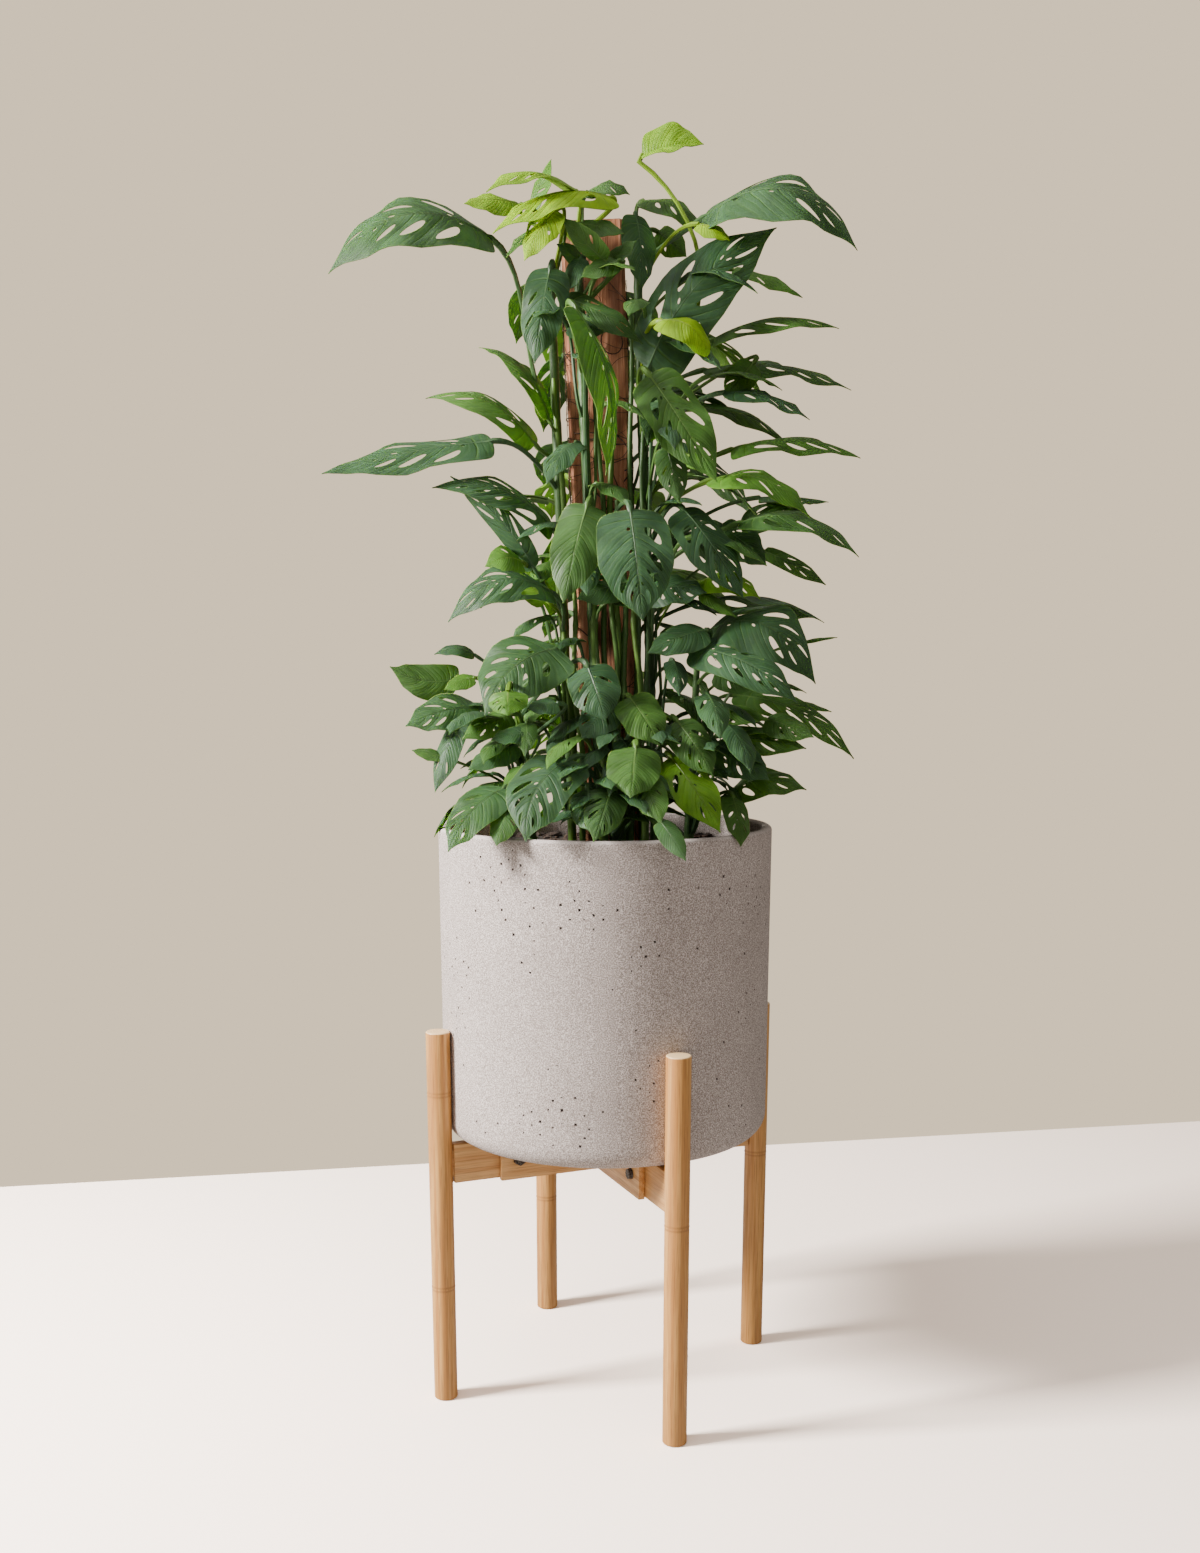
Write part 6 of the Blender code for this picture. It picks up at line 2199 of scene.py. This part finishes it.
@dataclass(frozen=True)
class Lamp:
    """A square soft light: its place in metres, the length of its side, its power in watts and its colour."""

    name: str
    spot: Place
    size: float
    power: float
    colour: Colour


@dataclass
class Studio:
    """The camera, the floor and the soft lights.

    backdrop and floor_seen are what the camera sees, and backdrop_lit and floor_lit are what lights
    the plant.
    """

    axis: Vector
    focal: float = 1526.9
    long_side: float = 1553.0
    horizon_row: float = 1011.3
    pitch: float = 0.2172
    eye: Place = (-0.0047, -1.4075, 0.6732)
    backdrop: Colour = (1.10, 0.90, 0.635)
    backdrop_lit: Colour = (0.355, 0.320, 0.280)
    floor_seen: Colour = (1.75, 1.50, 1.33)
    floor_lit: Colour = (0.42, 0.40, 0.38)
    floor_end: float = 0.673
    floor_turn: float = 0.177
    floor_size: float = 60.0
    sensor: float = 36.0
    aim: Place = (0.0, 0.0, 0.5)
    lamps: tuple[Lamp, ...] = (
        Lamp("key", (-1.95, -0.60, 1.50), 0.50, 200.0, (1.0, 0.965, 0.92)),
        Lamp("top", (-0.3, -0.5, 2.5), 1.3, 17.0, (1.0, 0.99, 0.97)),
        Lamp("fill", (0.9, -2.2, 1.2), 1.6, 5.0, (0.97, 0.98, 1.0)),
    )

    def build(self) -> None:
        """Set up the camera, the floor and the lights."""
        self.make_camera()
        self.make_floor()
        self.make_world()
        for lamp in self.lamps:
            self.light(lamp)

    def make_camera(self) -> None:
        """Add the camera at the photograph's viewing angle."""
        data = bpy.data.cameras.new("camera")
        data.sensor_width = self.sensor
        data.lens = self.focal / self.long_side * self.sensor
        data.shift_y = (self.horizon_row - self.long_side / 2) / self.long_side
        camera = add_object("camera", data)
        camera.location = Vector(self.eye) + self.axis
        camera.rotation_euler = (math.pi / 2 - self.pitch, 0.0, 0.0)
        bpy.context.scene.camera = camera

    def make_floor(self) -> None:
        """Lay the pale floor, which ends in the backdrop's colour along a line behind the object."""
        bpy.ops.mesh.primitive_plane_add(size=self.floor_size, location=(0.0, 0.0, -0.0001))
        floor = bpy.context.object
        floor.name = "studio_floor"
        draw = Sketch("studio_floor")
        seen = draw.node("LightPath", {}).outputs["Is Camera Ray"]
        paint = draw.node("BsdfDiffuse", {0: draw.mix(seen, self.floor_lit, self.floor_seen)})
        glow = draw.node("Emission", {0: draw.mix(seen, self.backdrop_lit, self.backdrop)})
        behind = draw.math("GREATER_THAN", draw.parts(draw.place(turn=self.floor_turn))[1], self.floor_end)
        blend = draw.node("MixShader", {0: behind, 1: paint.outputs[0], 2: glow.outputs[0]})
        output = next(node for node in draw.tree.nodes if node.type == "OUTPUT_MATERIAL")
        draw.tree.links.new(blend.outputs[0], output.inputs[0])
        draw.tree.nodes.remove(draw.shader)
        dress(floor, draw.material)

    def make_world(self) -> None:
        """Give the camera the backdrop's colour and the plant a dimmer light of the same colour."""
        world = bpy.data.worlds.new("studio")
        world.use_nodes = True
        tree = world.node_tree
        seen = tree.nodes.new("ShaderNodeLightPath").outputs["Is Camera Ray"]
        blend = tree.nodes.new("ShaderNodeMix")
        blend.data_type = "RGBA"
        blend.inputs[6].default_value = (*self.backdrop_lit, 1.0)
        blend.inputs[7].default_value = (*self.backdrop, 1.0)
        tree.links.new(seen, blend.inputs[0])
        tree.links.new(blend.outputs[2], tree.nodes["Background"].inputs[0])
        bpy.context.scene.world = world

    def light(self, lamp: Lamp) -> None:
        """Add a lamp that looks at the plant.

        Args:
            lamp: The lamp.
        """
        data = bpy.data.lights.new(lamp.name, "AREA")
        data.size = lamp.size
        data.energy = lamp.power
        data.color = lamp.colour
        made = add_object(lamp.name, data)
        made.location = lamp.spot
        made.rotation_mode = "QUATERNION"
        made.rotation_quaternion = (Vector(lamp.spot) - Vector(self.aim)).to_track_quat("Z", "Y")


def main() -> None:
    """Build the pieces in order."""
    logging.basicConfig(level=logging.INFO, format="%(name)s %(message)s")
    low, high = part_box("pot")
    axis = Vector(((low.x + high.x) / 2, (low.y + high.y) / 2, 0.0))
    Studio(axis).build()
    StonePot(axis).build(StoneFinish().build())
    soil = BarkFinish("dark_soil", (0.012, 0.008, 0.006), (0.050, 0.030, 0.020)).build()
    chips = BarkFinish("bark_chip", (0.022, 0.013, 0.009), (0.120, 0.066, 0.040)).build()
    BarkSoil(axis).build(chips, soil)
    plank = ClimbingPlank(axis)
    plank.build(TimberFinish().build())
    plank.build_roots(RootFinish().build())
    stand = BambooStand(axis)
    # The lying pieces sit in the pot's shade, and their bamboo is painted lighter than the legs' to make up for
    # it.
    lying = [
        BambooFinish("bamboo_left_right", stand.turn).build(),
        BambooFinish("bamboo_front_back", stand.turn + math.pi / 2).build(),
    ]
    upright = BambooFinish(
        "bamboo_upright",
        upright=True,
        base=(0.500, 0.218, 0.050),
        light=(0.660, 0.345, 0.100),
        dark=(0.255, 0.094, 0.020),
    )
    stand.build(upright.build(), lying, SteelFinish().build())
    upper = BladeFinish(
        "leaf_upper",
        Greens((0.031, 0.074, 0.036), (0.044, 0.102, 0.024), (0.070, 0.178, 0.017), (0.190, 0.330, 0.002)),
        vein=(0.095, 0.175, 0.012),
        vein_share=0.40,
        roughness=0.45,
    )
    under = BladeFinish(
        "leaf_under",
        Greens((0.030, 0.060, 0.026), (0.045, 0.090, 0.024), (0.090, 0.170, 0.022), (0.185, 0.290, 0.020)),
        vein=(0.120, 0.185, 0.040),
        vein_share=0.40,
        roughness=0.58,
    )
    margin = BladeFinish(
        "leaf_margin",
        Greens((0.030, 0.075, 0.024), (0.050, 0.110, 0.020), (0.100, 0.190, 0.016), (0.190, 0.310, 0.020)),
        vein=(0.130, 0.200, 0.045),
        vein_share=0.30,
        roughness=0.50,
    )
    finishes = [finish.build() for finish in (upper, under, margin, StalkFinish())]
    cutter = BladeCutter()
    flats = cutter.build()
    for name, stem in STEMS.items():
        leafy = LeafyStem(name, stem, LEAVES.get(name, ()), axis)
        for rules in (BACK_RULES, INNER_RULES):
            if name in rules:
                leafy.leaves += ruled_leaves(rules[name], leafy)
        leafy.build(flats, cutter.half, finishes)


if __name__ == "__main__":
    main()
